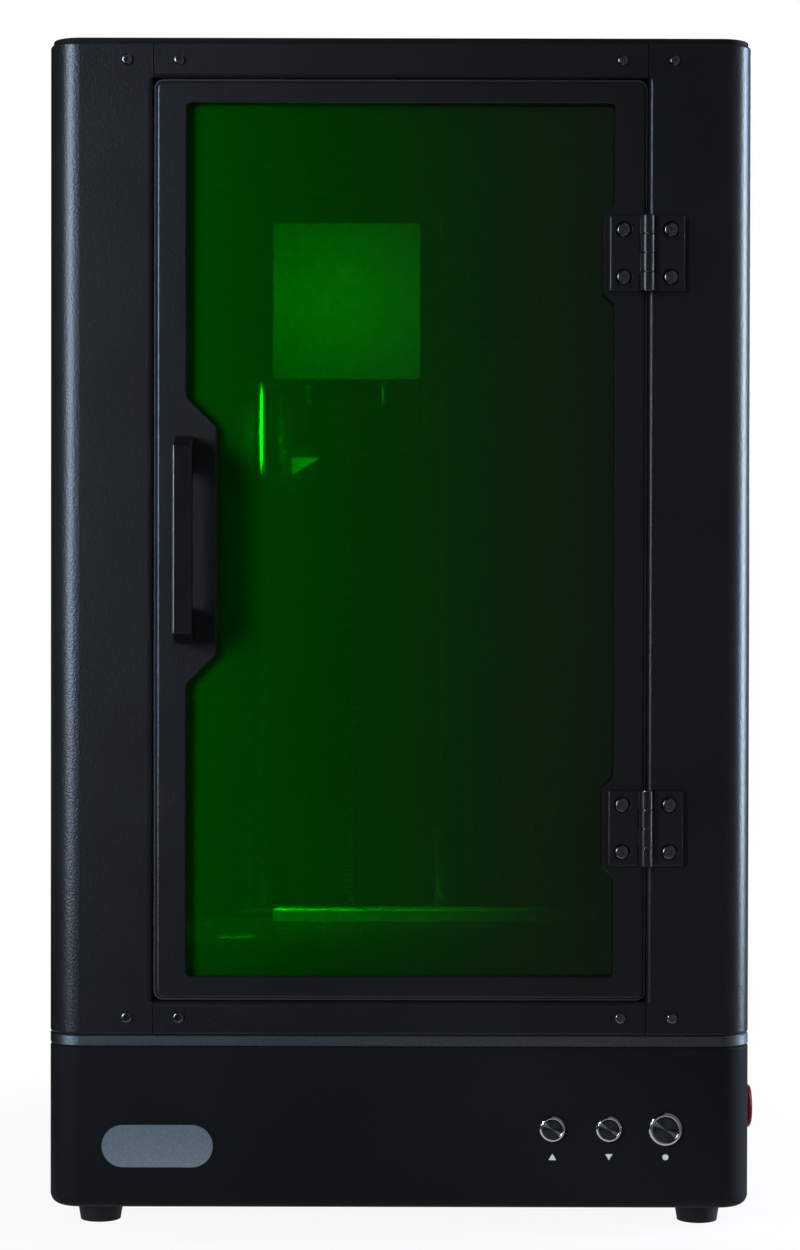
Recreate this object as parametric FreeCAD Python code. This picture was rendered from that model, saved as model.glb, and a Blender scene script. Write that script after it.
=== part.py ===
import FreeCAD, Part
import math
import os

# An enclosed desktop laser marking machine, all sizes in millimetres.
# X runs from left to right as seen from the front, Y from front to rear and Z up.
# The origin lies on the floor under the middle of the casing.

# Casing: base, deck and folded steel cabinet
body_width = 374.0
body_depth = 430.0
corner_radius = 17.0
base_height = 86.5
base_wall = 2.5
base_edge_radius = 6.0
base_flange = 14.0
deck_thickness = 6.0
deck_chamfer = 0.6
cabinet_height = 526.0
sheet = 2.0
seam_radius = 1.5
lid_thickness = 2.5
lid_inset = 1.5
lid_edge_radius = 0.8
ring_wall = 3.0
ring_flange = 12.0
fit_gap = 0.1
edge_share = 0.75

# Rubber feet
foot_height = 10.5
foot_top_diameter = 25.0
foot_bottom_diameter = 21.5
foot_inset = 26.0
foot_recess_diameter = 10.0
foot_recess_depth = 6.0

# Service hatch under the base
hatch_margin = 50.0
hatch_end_margin = 55.0
hatch_overlap = 10.0
hatch_thickness = 2.0
hatch_slot_count = 9
hatch_slot_length = 135.0
hatch_slot_width = 4.0
hatch_slot_pitch = 12.0

# Door opening in the cabinet front
pillar_width = 56.0
rear_lip_width = 34.0
bottom_rail_height = 18.0
top_rail_height = 19.0
bend_inner_radius = 1.0
bend_run = 10.0
seam_gap = 0.4
seam_screw_offset = 13.75
edge_screw_inset = 9.5
ring_clearance = 0.5
jamb_width = 6.5
jamb_thickness = 2.0
seal_width = 4.0
seal_thickness = 3.7
seal_gap = 0.3

# Door with its laser safety window
door_gap = 1.5
door_thickness = 12.0
door_edge_radius = 2.0
door_corner_radius = 4.0
window_side_border = 16.0
window_end_border = 11.5
window_corner_radius = 2.5
window_edge_chamfer = 0.5
pane_thickness = 6.0
pane_margin = 4.0
pane_clearance = 0.5
retainer_margin = 6.5
retainer_thickness = 1.5
notch_depth = 16.0
notch_length = 120.0
pad_depth = 6.0
pad_length = 42.0

# Pull handle
handle_length = 109.0
handle_end_taper = 5.5
handle_width = 10.5
handle_reach = 28.0
handle_grip = 9.0
handle_end_slope = 13.0
handle_leg = 18.5
handle_corner_radius = 4.0
handle_edge_radius = 1.2

# Butt hinges on the right of the door
hinge_inset = 91.0
hinge_height = 40.0
hinge_leaf = 20.0
hinge_leaf_thickness = 3.0
hinge_leaf_edge = 1.0
hinge_hole_spacing = 25.0
hinge_barrel = 7.5
hinge_pin = 3.6
hinge_knuckles = 4
hinge_clearance = 0.4
hinge_counterbore = 9.0
hinge_counterbore_depth = 1.6
running_clearance = 0.05

# Magnet latch with safety interlock
latch_width = 22.0
latch_height = 34.0
latch_depth = 14.0
latch_inset = 0.6
latch_edge = 1.5
strike_width = 12.0
strike_height = 28.0
strike_thickness = 3.8
strike_edge = 1.0
strike_offset = 14.5

# Push buttons on the base front, a little under its middle
button_drop = 0.25
start_button_inset = 45.5
button_pitch = 30.0
button_rise = 2.0
button_barrel = 20.0
button_bore_depth = 7.0
button_stem = 4.0
button_stem_length = 14.0
button_chamfer = 0.9
cap_thickness = 3.0
cap_proud = 0.4
cap_clearance = 0.3
jog_bezel = 14.0
jog_hole = 12.0
jog_cap = 10.0
start_bezel = 18.0
start_hole = 16.0
start_cap = 13.0
nut_thickness = 2.5
nut_wall = 2.0
thread_clearance = 0.05

# Emergency stop on the right side of the base, a little over its middle
estop_rise = 2.75
estop_setback = 54.0
estop_reach = 6.2
estop_head_diameter = 24.5
estop_head_height = 4.0
estop_dome = 3.0
estop_skin = 2.4
estop_skirt_gap = 1.2
estop_bezel = 19.0
estop_bezel_rise = 1.2
estop_bezel_chamfer = 0.4
estop_hole = 16.0
estop_barrel = 24.0
estop_end_wall = 2.5
estop_stem_diameter = 8.0
estop_stem_room = 5.6
estop_pivot_diameter = 5.0
estop_pivot_length = 1.4

# Bare name plate
plate_width = 59.0
plate_height = 22.5
plate_thickness = 0.8
plate_inset = 58.7
plate_drop = 9.75

# Work platform with a grid of threaded holes, and its stops
platform_side_room = 45.0
platform_front_room = 115.0
platform_pitch = 25.0
platform_thickness = 12.0
platform_chamfer = 0.7
platform_edge = 1.0
platform_gap = 2.5
standoff_height = 8.0
standoff_diameter = 16.0
standoff_inset = 25.0
fence_start_inset = 54.5
fence_end_inset = 3.5
fence_width = 14.0
fence_height = 8.0
fence_corner_radius = 5.0
stop_edge_radius = 1.5
stop_length = 25.0
stop_width = 14.0
stop_height = 5.0
stop_column = 1
stop_row = 4

# Vertical lift: column, shafts, screw and motor
head_x = -32.0
column_margin = 14.0
column_thickness = 8.0
column_top_room = 26.0
column_gap = 1.0
foot_plate_thickness = 8.0
foot_plate_reach = 47.0
shaft_spacing = 120.0
shaft_diameter = 12.0
support_height = 16.0
support_depth = 32.0
screw_diameter = 8.0
screw_top_gap = 4.0
motor_side = 42.3
motor_height = 40.0
motor_corner = 4.0
motor_pilot_diameter = 22.0
motor_pilot_height = 2.0
motor_bore_depth = 12.0
pilot_clearance = 0.2

# Carriage on the column
carriage_height = 110.0
carriage_headroom = 44.0
carriage_thickness = 30.0
carriage_margin = 17.0
carriage_gap = 2.0
carriage_edge = 1.5
carriage_stem = 92.0
bearing_diameter = 21.0
bearing_length = 30.0
bearing_spacing = 6.0
nut_flange_diameter = 22.0
nut_flange_thickness = 3.5
nut_barrel_wall = 1.1
nut_barrel_length = 12.0
screw_passage_gap = 0.75
flag_inset = 34.0
flag_width = 19.0
flag_drop = 12.0
flag_thickness = 2.0

# Laser head carried by the carriage
laser_head_length = 85.0
laser_head_width = 66.0
laser_head_height = 76.0
laser_head_lift = 40.0
fin_count = 6
fin_slot = 4.0
fin_depth = 7.0
galvo_width = 88.0
galvo_height = 93.0
galvo_lift = 32.0
galvo_front_reach = 48.0
galvo_rear_reach = 50.0
galvo_wall = 6.0
galvo_edge = 2.0
galvo_cover_thickness = 2.0
galvo_cover_chamfer = 0.5
galvo_motor_diameter = 20.0
galvo_motor_length = 32.0
galvo_shaft = 4.0
galvo_shaft_seat = 12.0
beam_hole = 12.0
mirror_offset = 16.0
mirror_level = 35.0
mirror_width = 12.0
mirror_length = 16.0
mirror_thickness = 2.0
mirror_grip = 3.0
mirror_angle = 45.0
lens_adapter_diameter = 62.0
lens_adapter_height = 8.0
lens_barrel_diameter = 56.0
lens_barrel_height = 24.0
lens_lip_diameter = 60.0
lens_lip_height = 5.0
lens_lip_chamfer = 0.8
lens_bore = 40.0
lens_glass_diameter = 46.0
lens_glass_thickness = 5.0
lens_glass_recess = 2.0
lens_glass_edge = 1.0
pointer_spacing = 45.0
pointer_setback = 12.0
pointer_diameter = 6.5
pointer_length = 15.0
pointer_edge = 0.8
pointer_collar = 9.0
pointer_collar_height = 4.0

# Rear panel with exhaust fan and duct collar
fan_gap = 4.0
fan_drop = 81.0
fan_side = 80.0
fan_depth = 20.0
fan_rim = 2.0
fan_corner = 5.0
fan_hole_inset = 4.25
fan_hub = 30.0
fan_hub_edge = 2.5
fan_tip_gap = 1.5
fan_blades = 7
fan_blade_thickness = 2.0
fan_blade_pitch = 35.0
fan_blade_chord = 15.0
fan_motor_thickness = 4.0
fan_strut = 5.0
fan_axle = 4.0
fan_axle_length = 9.0
fan_end_gap = 0.5
collar_margin = 4.0
collar_flange_thickness = 3.0
collar_diameter = 75.0
collar_wall = 2.0
collar_reach = 28.0
collar_chamfer = 1.0
vent_count = 8
vent_pitch = 9.0
vent_length = 60.0
vent_width = 4.0
vent_level = 40.0
base_vent_count = 8
base_vent_length = 36.0
base_vent_inset = 125.0

# Pieces inside the base
electronics_inset = 7.0
electronics_gap = 17.0
source_width = 200.0
source_depth = 170.0
source_height = 58.0
source_fins = 12
source_fin_slot = 6.0
source_fin_depth = 12.0
supply_width = 58.0
supply_depth = 160.0
supply_height = 45.0
supply_edge = 1.5
electronics_back = 55.0
board_gap = 11.0
board_width = 130.0
board_depth = 84.0
board_thickness = 1.6
board_standoff = 6.0
board_standoff_diameter = 6.0
board_chip = 18.0
board_chip_height = 6.0

# Sockets in the base rear
inlet_inset = 65.0
inlet_width = 31.0
inlet_height = 54.0
inlet_flange = 3.0
inlet_body_width = 27.0
inlet_body_height = 48.0
inlet_body_depth = 24.0
inlet_corner = 2.0
socket_width = 24.0
socket_opening = 17.0
socket_depth = 16.0
socket_drop = 12.0
blade_width = 4.0
blade_thickness = 2.0
blade_length = 9.0
blade_spacing = 7.0
blade_step = 3.0
rocker_rise = 13.0
rocker_length = 18.0
rocker_height = 12.0
rocker_end_room = 0.9
rocker_side_room = 0.3
rocker_well = 9.0
rocker_back = 3.5
rocker_proud = 1.4
rocker_dip = 1.0
rocker_tilt = 8.0
rocker_pin = 3.0
rocker_pin_length = 1.5
data_spacing = 60.0
data_width = 12.0
data_height = 11.0
data_depth = 16.0
data_wall = 1.0
data_tongue = 4.0

# Screws: shank, head diameter, head height and socket across the flats
m3_shank = 2.9
m3_head = 5.7
m3_rise = 1.65
m3_socket = 2.0
m4_shank = 3.9
m4_head = 7.6
m4_rise = 2.2
m4_socket = 2.5
m5_shank = 4.8
m5_head = 9.0
m5_rise = 2.75
m5_socket = 3.0
screw_dome = 0.6
socket_floor = 0.35
screw_clearance = 0.2
grid_thread_gap = 0.1
front_screw_length = 5.0
hinge_screw_length = 7.0
handle_screw_length = 20.0
lid_screw_length = 5.0
lid_screw_pitch = 150.0
foot_screw_length = 8.0
hatch_screw_length = 4.0
collar_screw_length = 11.0
fence_screw_length = 14.0
fence_screw_inset = 34.0
stop_screw_length = 11.0

# Screws, levels and faces that follow from the sizes above
m3 = {"shank": m3_shank, "head": m3_head, "rise": m3_rise, "socket": m3_socket}
m4 = {"shank": m4_shank, "head": m4_head, "rise": m4_rise, "socket": m4_socket}
m5 = {"shank": m5_shank, "head": m5_head, "rise": m5_rise, "socket": m5_socket}
near = 0.01
V = FreeCAD.Vector
RIGHT = V(1, 0, 0)
BACK = V(0, 1, 0)
UP = V(0, 0, 1)
front = -body_depth / 2
rear = body_depth / 2
side = body_width / 2
base_bottom = foot_height
base_top = base_bottom + base_height
base_middle = (base_bottom + base_top) / 2
base_floor = base_bottom + base_wall
hatch_width = body_width - 2 * hatch_margin
hatch_depth = body_depth - 2 * hatch_end_margin
hatch_top = base_floor + hatch_thickness
deck_top = base_top + deck_thickness
roof = deck_top + cabinet_height
edge_rounding = min(seam_radius, edge_share * sheet)
bend_radius = bend_inner_radius + sheet
opening_half = side - pillar_width
opening_bottom = deck_top + bottom_rail_height
opening_top = roof - top_rail_height
rail_half = opening_half - seam_gap
rear_half = side - rear_lip_width
ring_height = min(bottom_rail_height, top_rail_height) - bend_radius - ring_clearance
return_depth = door_thickness + seal_gap + seal_thickness + jamb_thickness
jamb_front = front + return_depth - jamb_thickness
door_half = opening_half - door_gap
door_bottom = opening_bottom + door_gap
door_top = opening_top - door_gap
door_middle = (door_bottom + door_top) / 2
door_back = front + door_thickness
pane_front = door_back - pane_thickness
window_half = door_half - window_side_border
handle_x = -window_half
hinge_levels = (door_bottom + hinge_inset, door_top - hinge_inset)
hinge_x = opening_half - door_gap / 2
hinge_y = front - hinge_clearance - hinge_barrel / 2
button_level = base_middle - button_drop
estop_level = base_middle + estop_rise
estop_y = front + estop_setback
estop_ceiling = estop_reach - estop_skin
start_button_x = side - start_button_inset
down_button_x = start_button_x - button_pitch
up_button_x = down_button_x - button_pitch
column_width = shaft_spacing + 2 * column_margin
column_back = rear - sheet - ring_flange - column_gap
column_front = column_back - column_thickness
column_top = roof - column_top_room
shaft_y = column_front - carriage_gap - carriage_thickness / 2
shaft_xs = (head_x - shaft_spacing / 2, head_x + shaft_spacing / 2)
carriage_width = shaft_spacing + 2 * carriage_margin
carriage_bottom = column_top - support_height - carriage_headroom - carriage_height
carriage_top = carriage_bottom + carriage_height
shoulder_bottom = carriage_top - 2 * bearing_length - bearing_spacing
carriage_front = shaft_y - carriage_thickness / 2
galvo_rear = carriage_front - laser_head_length
head_y = galvo_rear - galvo_rear_reach
galvo_front = head_y - galvo_front_reach
galvo_bottom = carriage_bottom + galvo_lift
galvo_ceiling = galvo_bottom + galvo_height - galvo_wall
lens_bottom = galvo_bottom - lens_adapter_height - lens_barrel_height - lens_lip_height
mirror_z = galvo_bottom + mirror_level
platform_back = column_back - foot_plate_reach - platform_gap
platform_columns = int((body_width - 2 * platform_side_room) / platform_pitch)
platform_rows = int((platform_back - front - platform_front_room) / platform_pitch)
platform_width = platform_columns * platform_pitch
platform_front = platform_back - platform_rows * platform_pitch
platform_bottom = deck_top + standoff_height
platform_top = platform_bottom + platform_thickness
platform_hole = m5["shank"] + 2 * grid_thread_gap
fan_x = head_x + column_width / 2 + fan_gap + fan_side / 2
fan_z = roof - fan_drop
fan_back = rear - sheet
fan_front = fan_back - fan_depth
fan_bore = fan_side - 2 * fan_rim
source_left = electronics_inset - hatch_width / 2 - hatch_overlap
supply_left = source_left + source_width + electronics_gap
board_right = supply_left + supply_width
board_front = electronics_back + board_gap
inlet_x = inlet_inset - side
data_x = inlet_x + data_spacing


def span(middle, size):
    """Lowest and highest value of a size that is centred on a middle."""
    return (middle - size / 2, middle + size / 2)


def box(xs, ys, zs):
    """Box between two values on each axis."""
    return Part.makeBox(xs[1] - xs[0], ys[1] - ys[0], zs[1] - zs[0], V(xs[0], ys[0], zs[0]))


def rod(start, axis, diameter, length):
    """Cylinder that runs from a point along an axis."""
    return Part.makeCylinder(diameter / 2, length, start, axis)


def edges_at(shape, axis, value):
    """Edges that lie wholly in one plane across the X, Y or Z axis."""
    found = []
    for edge in shape.Edges:
        low = getattr(edge.BoundBox, axis + "Min")
        high = getattr(edge.BoundBox, axis + "Max")
        if abs(low - value) < near and abs(high - value) < near:
            found.append(edge)
    return found


def edges_along(shape, axis):
    """Straight edges that run along an axis."""
    found = []
    for edge in shape.Edges:
        if edge.Curve.TypeId == "Part::GeomLine" and edge.Curve.Direction.cross(axis).Length < near:
            found.append(edge)
    return found


def slab(width, depth, radius, low, high, x=0.0, y=0.0):
    """Upright prism of a rounded rectangle."""
    block = box(span(x, width), span(y, depth), (low, high))
    return block.makeFillet(radius, edges_along(block, UP))


def rounded_wire(corners, to_space):
    """Closed outline through flat corners (u, v, radius), each rounded by its own radius."""
    edges = []
    last_end = None
    first_start = None
    for index, (u, v, radius) in enumerate(corners):
        here = V(u, v, 0)
        before = V(corners[index - 1][0], corners[index - 1][1], 0)
        after_corner = corners[(index + 1) % len(corners)]
        after = V(after_corner[0], after_corner[1], 0)
        back = (before - here).normalize()
        ahead = (after - here).normalize()
        start = end = here
        if radius > 0:
            half = math.acos(max(-1.0, min(1.0, back.dot(ahead)))) / 2
            start = here + back * (radius / math.tan(half))
            end = here + ahead * (radius / math.tan(half))
            middle = here + (back + ahead).normalize() * (radius / math.sin(half) - radius)
        if last_end is not None:
            edges.append(Part.LineSegment(to_space(last_end), to_space(start)).toShape())
        else:
            first_start = start
        if radius > 0:
            edges.append(Part.Arc(to_space(start), to_space(middle), to_space(end)).toShape())
        last_end = end
    edges.append(Part.LineSegment(to_space(last_end), to_space(first_start)).toShape())
    return Part.Wire(edges)


def prism(corners, plane, low, high):
    """Flat outline in the xy, xz or yz plane, drawn out across it between two values."""
    if plane == "xy":
        wire = rounded_wire(corners, lambda p: V(p.x, p.y, low))
        run = UP
    elif plane == "xz":
        wire = rounded_wire(corners, lambda p: V(p.x, low, p.y))
        run = BACK
    else:
        wire = rounded_wire(corners, lambda p: V(low, p.x, p.y))
        run = RIGHT
    return Part.Face(wire).extrude(run * (high - low))


def rectangle(us, vs, radius=0.0):
    """Corners of a rectangle, listed anticlockwise."""
    return [(us[0], vs[0], radius), (us[1], vs[0], radius), (us[1], vs[1], radius), (us[0], vs[1], radius)]


def grown(corners, margin):
    """Corners listed anticlockwise, with every side moved outwards by a margin."""
    moved = []
    for index, (u, v, radius) in enumerate(corners):
        before = corners[index - 1]
        after = corners[(index + 1) % len(corners)]
        first = V(v - before[1], before[0] - u, 0).normalize()
        second = V(after[1] - v, u - after[0], 0).normalize()
        shift = (first + second) * (margin / (1 + first.dot(second)))
        moved.append((u + shift.x, v + shift.y, radius))
    return moved


def placed(shape, at, direction):
    """Shape that was made upright at the origin, turned to a direction and moved to a point."""
    shape.Placement = FreeCAD.Placement(at, FreeCAD.Rotation(UP, direction))
    return shape


def hexagon(across_flats, low, high):
    """Upright hexagonal prism on the Z axis."""
    reach = across_flats / math.sqrt(3)
    angles = [math.radians(60 * n) for n in range(6)]
    corners = [(reach * math.cos(angle), reach * math.sin(angle), 0.0) for angle in angles]
    return prism(corners, "xy", low, high)


def button_screw(at, outward, size, length):
    """Button head screw whose head seats at a point."""
    head = Part.makeCylinder(size["head"] / 2, size["rise"])
    head = head.makeFillet(size["rise"] * screw_dome, edges_at(head, "Z", size["rise"]))
    shank = Part.makeCylinder(size["shank"] / 2, length, V(0, 0, -length))
    socket = hexagon(size["socket"], size["rise"] * socket_floor, size["rise"])
    return placed(head.fuse(shank).removeSplitter().cut(socket), at, outward)


def flat_screw(at, outward, size, length):
    """Countersunk screw whose flat top lies at a point."""
    sink = (size["head"] - size["shank"]) / 2
    head = Part.makeCone(size["shank"] / 2, size["head"] / 2, sink, V(0, 0, -sink))
    shank = Part.makeCylinder(size["shank"] / 2, length - sink, V(0, 0, -length))
    socket = hexagon(size["socket"], socket_floor * sink - sink, 0)
    return placed(head.fuse(shank).cut(socket), at, outward)


def screw_hole(at, outward, size, depth):
    """Clearance hole for a screw, from just outside its seat."""
    diameter = size["shank"] + 2 * screw_clearance
    return rod(at + outward * size["rise"], outward * -1, diameter, depth + size["rise"])


def sink_hole(at, outward, size, depth):
    """Countersunk clearance hole."""
    top = size["head"] / 2 + screw_clearance
    bottom = size["shank"] / 2 + screw_clearance
    cone = Part.makeCone(bottom, top, top - bottom, V(0, 0, bottom - top))
    return placed(cone.fuse(Part.makeCylinder(bottom, depth, V(0, 0, -depth))), at, outward)


def panel_screws():
    """Seats of the screws that hold the front and rear sheets, beside each upright seam."""
    seats = []
    for half, y, outward in ((opening_half, front, BACK * -1), (rear_half, rear, BACK)):
        for x in span(-half, 2 * seam_screw_offset) + span(half, 2 * seam_screw_offset):
            for z in (deck_top + edge_screw_inset, roof - edge_screw_inset):
                seats.append((V(x, y, z), outward))
    return seats


def hinge_screws(direction):
    """Seats of the hinge screws, on the door side (-1) or the cabinet side (1) of the pins."""
    seats = []
    for level in hinge_levels:
        for z in span(level, hinge_hole_spacing):
            x = hinge_x + direction * hinge_hole_spacing / 2
            seats.append((V(x, front - hinge_leaf_thickness + hinge_counterbore_depth, z), BACK * -1))
    return seats


def foot_places():
    """Middles of the feet on the floor."""
    xs = (foot_inset - side, side - foot_inset)
    ys = (front + foot_inset, rear - foot_inset)
    return [V(x, y, 0) for x in xs for y in ys]


def foot_screws():
    """Seats of the foot screws, inside the feet."""
    return [(place + UP * foot_recess_depth, UP * -1) for place in foot_places()]


def hatch_screws():
    """Seats of the hatch screws, under the rim of the base."""
    reach_x = (hatch_width + hatch_overlap) / 2
    reach_y = (hatch_depth + hatch_overlap) / 2
    return [(V(x, y, base_bottom), UP * -1) for x in (-reach_x, reach_x) for y in (-reach_y, 0, reach_y)]


def lid_screws():
    """Seats of the lid screws, over the flange of the upper ring."""
    reach = side - sheet - fit_gap - ring_flange / 2
    level = roof + lid_thickness
    return [(V(x, y, level), UP) for x in (-reach, reach) for y in (-lid_screw_pitch, 0, lid_screw_pitch)]


def collar_screws():
    """Seats of the screws through duct collar, rear panel and fan."""
    seats = []
    spacing = fan_side - 2 * fan_hole_inset
    for x in span(fan_x, spacing):
        for z in span(fan_z, spacing):
            seats.append((V(x, rear + collar_flange_thickness, z), BACK))
    return seats


def grid_x(column):
    """Middle of a column of platform holes."""
    return (column - (platform_columns - 1) / 2) * platform_pitch


def grid_y(row):
    """Middle of a row of platform holes, counted from the front."""
    return platform_front + (row + 0.5) * platform_pitch


def fence_screws():
    """Seats of the fence screws, sunk into its top over the outer holes that it covers."""
    level = platform_top + fence_height - m5["rise"]
    start = fence_start_inset - platform_width / 2 + fence_screw_inset
    end = platform_width / 2 - fence_end_inset - fence_screw_inset
    covered = [grid_x(n) for n in range(platform_columns) if start <= grid_x(n) <= end]
    return [(V(x, grid_y(platform_rows - 1), level), UP) for x in (covered[0], covered[-1])]


def stop_screw():
    """Seat of the screw of the small stop."""
    return (V(grid_x(stop_column), grid_y(stop_row), platform_top + stop_height - m5["rise"]), UP)


def handle_screws():
    """Seats of the handle screws, on the back of the door."""
    return [(V(handle_x, door_back, z), BACK) for z in span(door_middle, handle_length - handle_leg)]


def rubber_feet():
    feet = []
    for place in foot_places():
        foot = Part.makeCone(foot_bottom_diameter / 2, foot_top_diameter / 2, foot_height, place)
        foot = foot.cut(rod(place, UP, foot_recess_diameter, foot_recess_depth))
        feet.append(foot.cut(rod(place, UP, m4["shank"] + 2 * screw_clearance, foot_height)))
    return Part.makeCompound(feet)


def base_housing():
    outer = slab(body_width, body_depth, corner_radius, base_bottom, base_top)
    outer = outer.makeFillet(base_edge_radius, edges_at(outer, "Z", base_bottom))
    outer = outer.makeFillet(min(seam_radius, edge_share * base_wall), edges_at(outer, "Z", base_top))
    room_width = body_width - 2 * base_wall
    room_depth = body_depth - 2 * base_wall
    room = slab(room_width, room_depth, corner_radius - base_wall, base_floor, base_top - base_wall)
    room_rounding = max(base_edge_radius - base_wall, seam_radius)
    room = room.makeFillet(room_rounding, edges_at(room, "Z", base_floor))
    mouth = slab(body_width - 2 * base_flange, body_depth - 2 * base_flange,
                 max(corner_radius - base_flange, base_wall), base_floor, base_top)
    hatch = slab(hatch_width, hatch_depth, corner_radius, base_bottom, base_floor)
    holes = [room, mouth, hatch]
    for x, hole in ((up_button_x, jog_hole), (down_button_x, jog_hole), (start_button_x, start_hole)):
        holes.append(rod(V(x, front, button_level), BACK, hole + 2 * thread_clearance, base_wall))
    estop_at = V(side, estop_y, estop_level)
    holes.append(rod(estop_at, RIGHT * -1, estop_hole + 2 * thread_clearance, base_wall))
    wall = (rear - base_wall, rear)
    inlet_zs = span(base_middle, inlet_body_height + 2 * fit_gap)
    holes.append(box(span(inlet_x, inlet_body_width + 2 * fit_gap), wall, inlet_zs))
    data_zs = span(base_middle, data_height + 2 * fit_gap)
    holes.append(box(span(data_x, data_width + 2 * fit_gap), wall, data_zs))
    for n in range(base_vent_count):
        y = rear - base_vent_inset + (n - (base_vent_count - 1) / 2) * vent_pitch
        holes.append(box((-side, side), span(y, vent_width), span(base_middle, base_vent_length)))
    for at, outward in foot_screws():
        holes.append(screw_hole(at, outward, m4, foot_height + base_wall))
    for at, outward in hatch_screws():
        holes.append(screw_hole(at, outward, m3, base_wall))
    return outer.cut(holes)


def base_cover():
    cover = slab(hatch_width + 2 * hatch_overlap, hatch_depth + 2 * hatch_overlap, corner_radius,
                 base_floor, hatch_top)
    holes = [screw_hole(at, outward, m3, base_wall + hatch_thickness) for at, outward in hatch_screws()]
    for row in range(hatch_slot_count):
        y = (row - (hatch_slot_count - 1) / 2) * hatch_slot_pitch
        holes.append(box(span(0, hatch_slot_length), span(y, hatch_slot_width), (base_floor, hatch_top)))
    return cover.cut(holes)


def deck_plate():
    deck = slab(body_width, body_depth, corner_radius, base_top, deck_top)
    deck = deck.makeChamfer(deck_chamfer, edges_at(deck, "Z", base_top) + edges_at(deck, "Z", deck_top))
    pilot_hole = motor_pilot_diameter + 2 * pilot_clearance
    return deck.cut(rod(V(head_x, shaft_y, base_top), UP, pilot_hole, deck_thickness))


def cabinet_ring():
    """The whole folded skin of the cabinet, before it is parted into sheets."""
    outer = slab(body_width, body_depth, corner_radius, deck_top, roof)
    outer = outer.makeFillet(edge_rounding, edges_at(outer, "Z", deck_top) + edges_at(outer, "Z", roof))
    inner = slab(body_width - 2 * sheet, body_depth - 2 * sheet, corner_radius - sheet, deck_top, roof)
    return outer.cut(inner)


def folded_edge(flat_end, fold_end):
    """Section of a sheet that runs along u and folds back along v at its end."""
    step = 1 if fold_end > flat_end else -1
    inner = fold_end - step * sheet
    back = front + return_depth
    return [(flat_end, front, 0.0), (fold_end, front, bend_radius), (fold_end, back, 0.0),
            (inner, back, 0.0), (inner, front + sheet, bend_inner_radius), (flat_end, front + sheet, 0.0)]


def left_side_shell():
    ring = cabinet_ring()
    pillar = ring.common(box((-side, -opening_half), (front, 0), (deck_top, roof)))
    shell = pillar.fuse(ring.common(box((-side, -rear_half), (0, rear), (deck_top, roof)))).removeSplitter()
    fold = prism(folded_edge(-opening_half - bend_run, -opening_half), "xy", opening_bottom, opening_top)
    square_edge = box((-opening_half - bend_run, -opening_half), (front, front + sheet),
                      (opening_bottom, opening_top))
    shell = shell.cut(square_edge).fuse(fold).removeSplitter()
    return shell.cut([screw_hole(at, outward, m3, sheet) for at, outward in panel_screws()])


def right_side_shell():
    shell = left_side_shell().mirror(V(0, 0, 0), RIGHT)
    return shell.cut([screw_hole(at, outward, m4, hinge_screw_length) for at, outward in hinge_screws(1)])


def front_rail(edge, fold):
    """Sheet above or below the door, folded back along the opening."""
    section = [(v, u, radius) for u, v, radius in folded_edge(edge, fold)]
    rail = prism(section, "yz", -rail_half, rail_half)
    outer_edge = [e for e in edges_at(rail, "Z", edge) if abs(e.BoundBox.YMax - front) < sheet / 2]
    rail = rail.makeFillet(edge_rounding, outer_edge)
    return rail.cut([screw_hole(at, outward, m3, sheet) for at, outward in panel_screws()])


def front_top_rail():
    return front_rail(roof, opening_top)


def front_bottom_rail():
    return front_rail(deck_top, opening_bottom)


def rear_panel():
    panel = box((seam_gap - rear_half, rear_half - seam_gap), (rear - sheet, rear), (deck_top, roof))
    ends = edges_at(panel, "Z", deck_top) + edges_at(panel, "Z", roof)
    panel = panel.makeFillet(edge_rounding, [e for e in ends if abs(e.BoundBox.YMin - rear) < sheet / 2])
    holes = [screw_hole(at, outward, m3, sheet) for at, outward in panel_screws()]
    depth = collar_flange_thickness + sheet
    holes += [screw_hole(at, outward, m3, depth) for at, outward in collar_screws()]
    holes.append(rod(V(fan_x, rear - sheet, fan_z), BACK, collar_diameter - 2 * collar_wall, sheet))
    for n in range(vent_count):
        z = deck_top + vent_level + n * vent_pitch
        holes.append(box(span(fan_x, vent_length), (rear - sheet, rear), span(z, vent_width)))
    return panel.cut(holes)


def frame_ring(low, flange_low):
    """Angle ring inside the skin, with an inward flange at the deck or under the lid."""
    skin = 2 * (sheet + fit_gap)
    radius = corner_radius - sheet - fit_gap
    outer = slab(body_width - skin, body_depth - skin, radius, low, low + ring_height)
    wall = 2 * ring_wall
    inner = slab(body_width - skin - wall, body_depth - skin - wall, radius - ring_wall,
                 low, low + ring_height)
    flange_outer = slab(body_width - skin, body_depth - skin, radius, flange_low, flange_low + ring_wall)
    lip = 2 * ring_flange
    flange_inner = slab(body_width - skin - lip, body_depth - skin - lip, ring_wall,
                        flange_low, flange_low + ring_wall)
    ring = outer.cut(inner).fuse(flange_outer.cut(flange_inner)).removeSplitter()
    holes = [screw_hole(at, outward, m3, sheet + fit_gap + ring_wall) for at, outward in panel_screws()]
    holes += [screw_hole(at, outward, m3, lid_thickness + ring_wall) for at, outward in lid_screws()]
    return ring.cut(holes)


def frame_rings():
    top_ring = frame_ring(roof - ring_height, roof - ring_wall)
    return Part.makeCompound([frame_ring(deck_top, deck_top), top_ring])


def top_cover():
    lid = slab(body_width - 2 * lid_inset, body_depth - 2 * lid_inset, corner_radius - lid_inset,
               roof, roof + lid_thickness)
    lid = lid.makeFillet(lid_edge_radius, edges_at(lid, "Z", roof + lid_thickness))
    return lid.cut([sink_hole(at, outward, m3, lid_thickness) for at, outward in lid_screws()])


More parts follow.
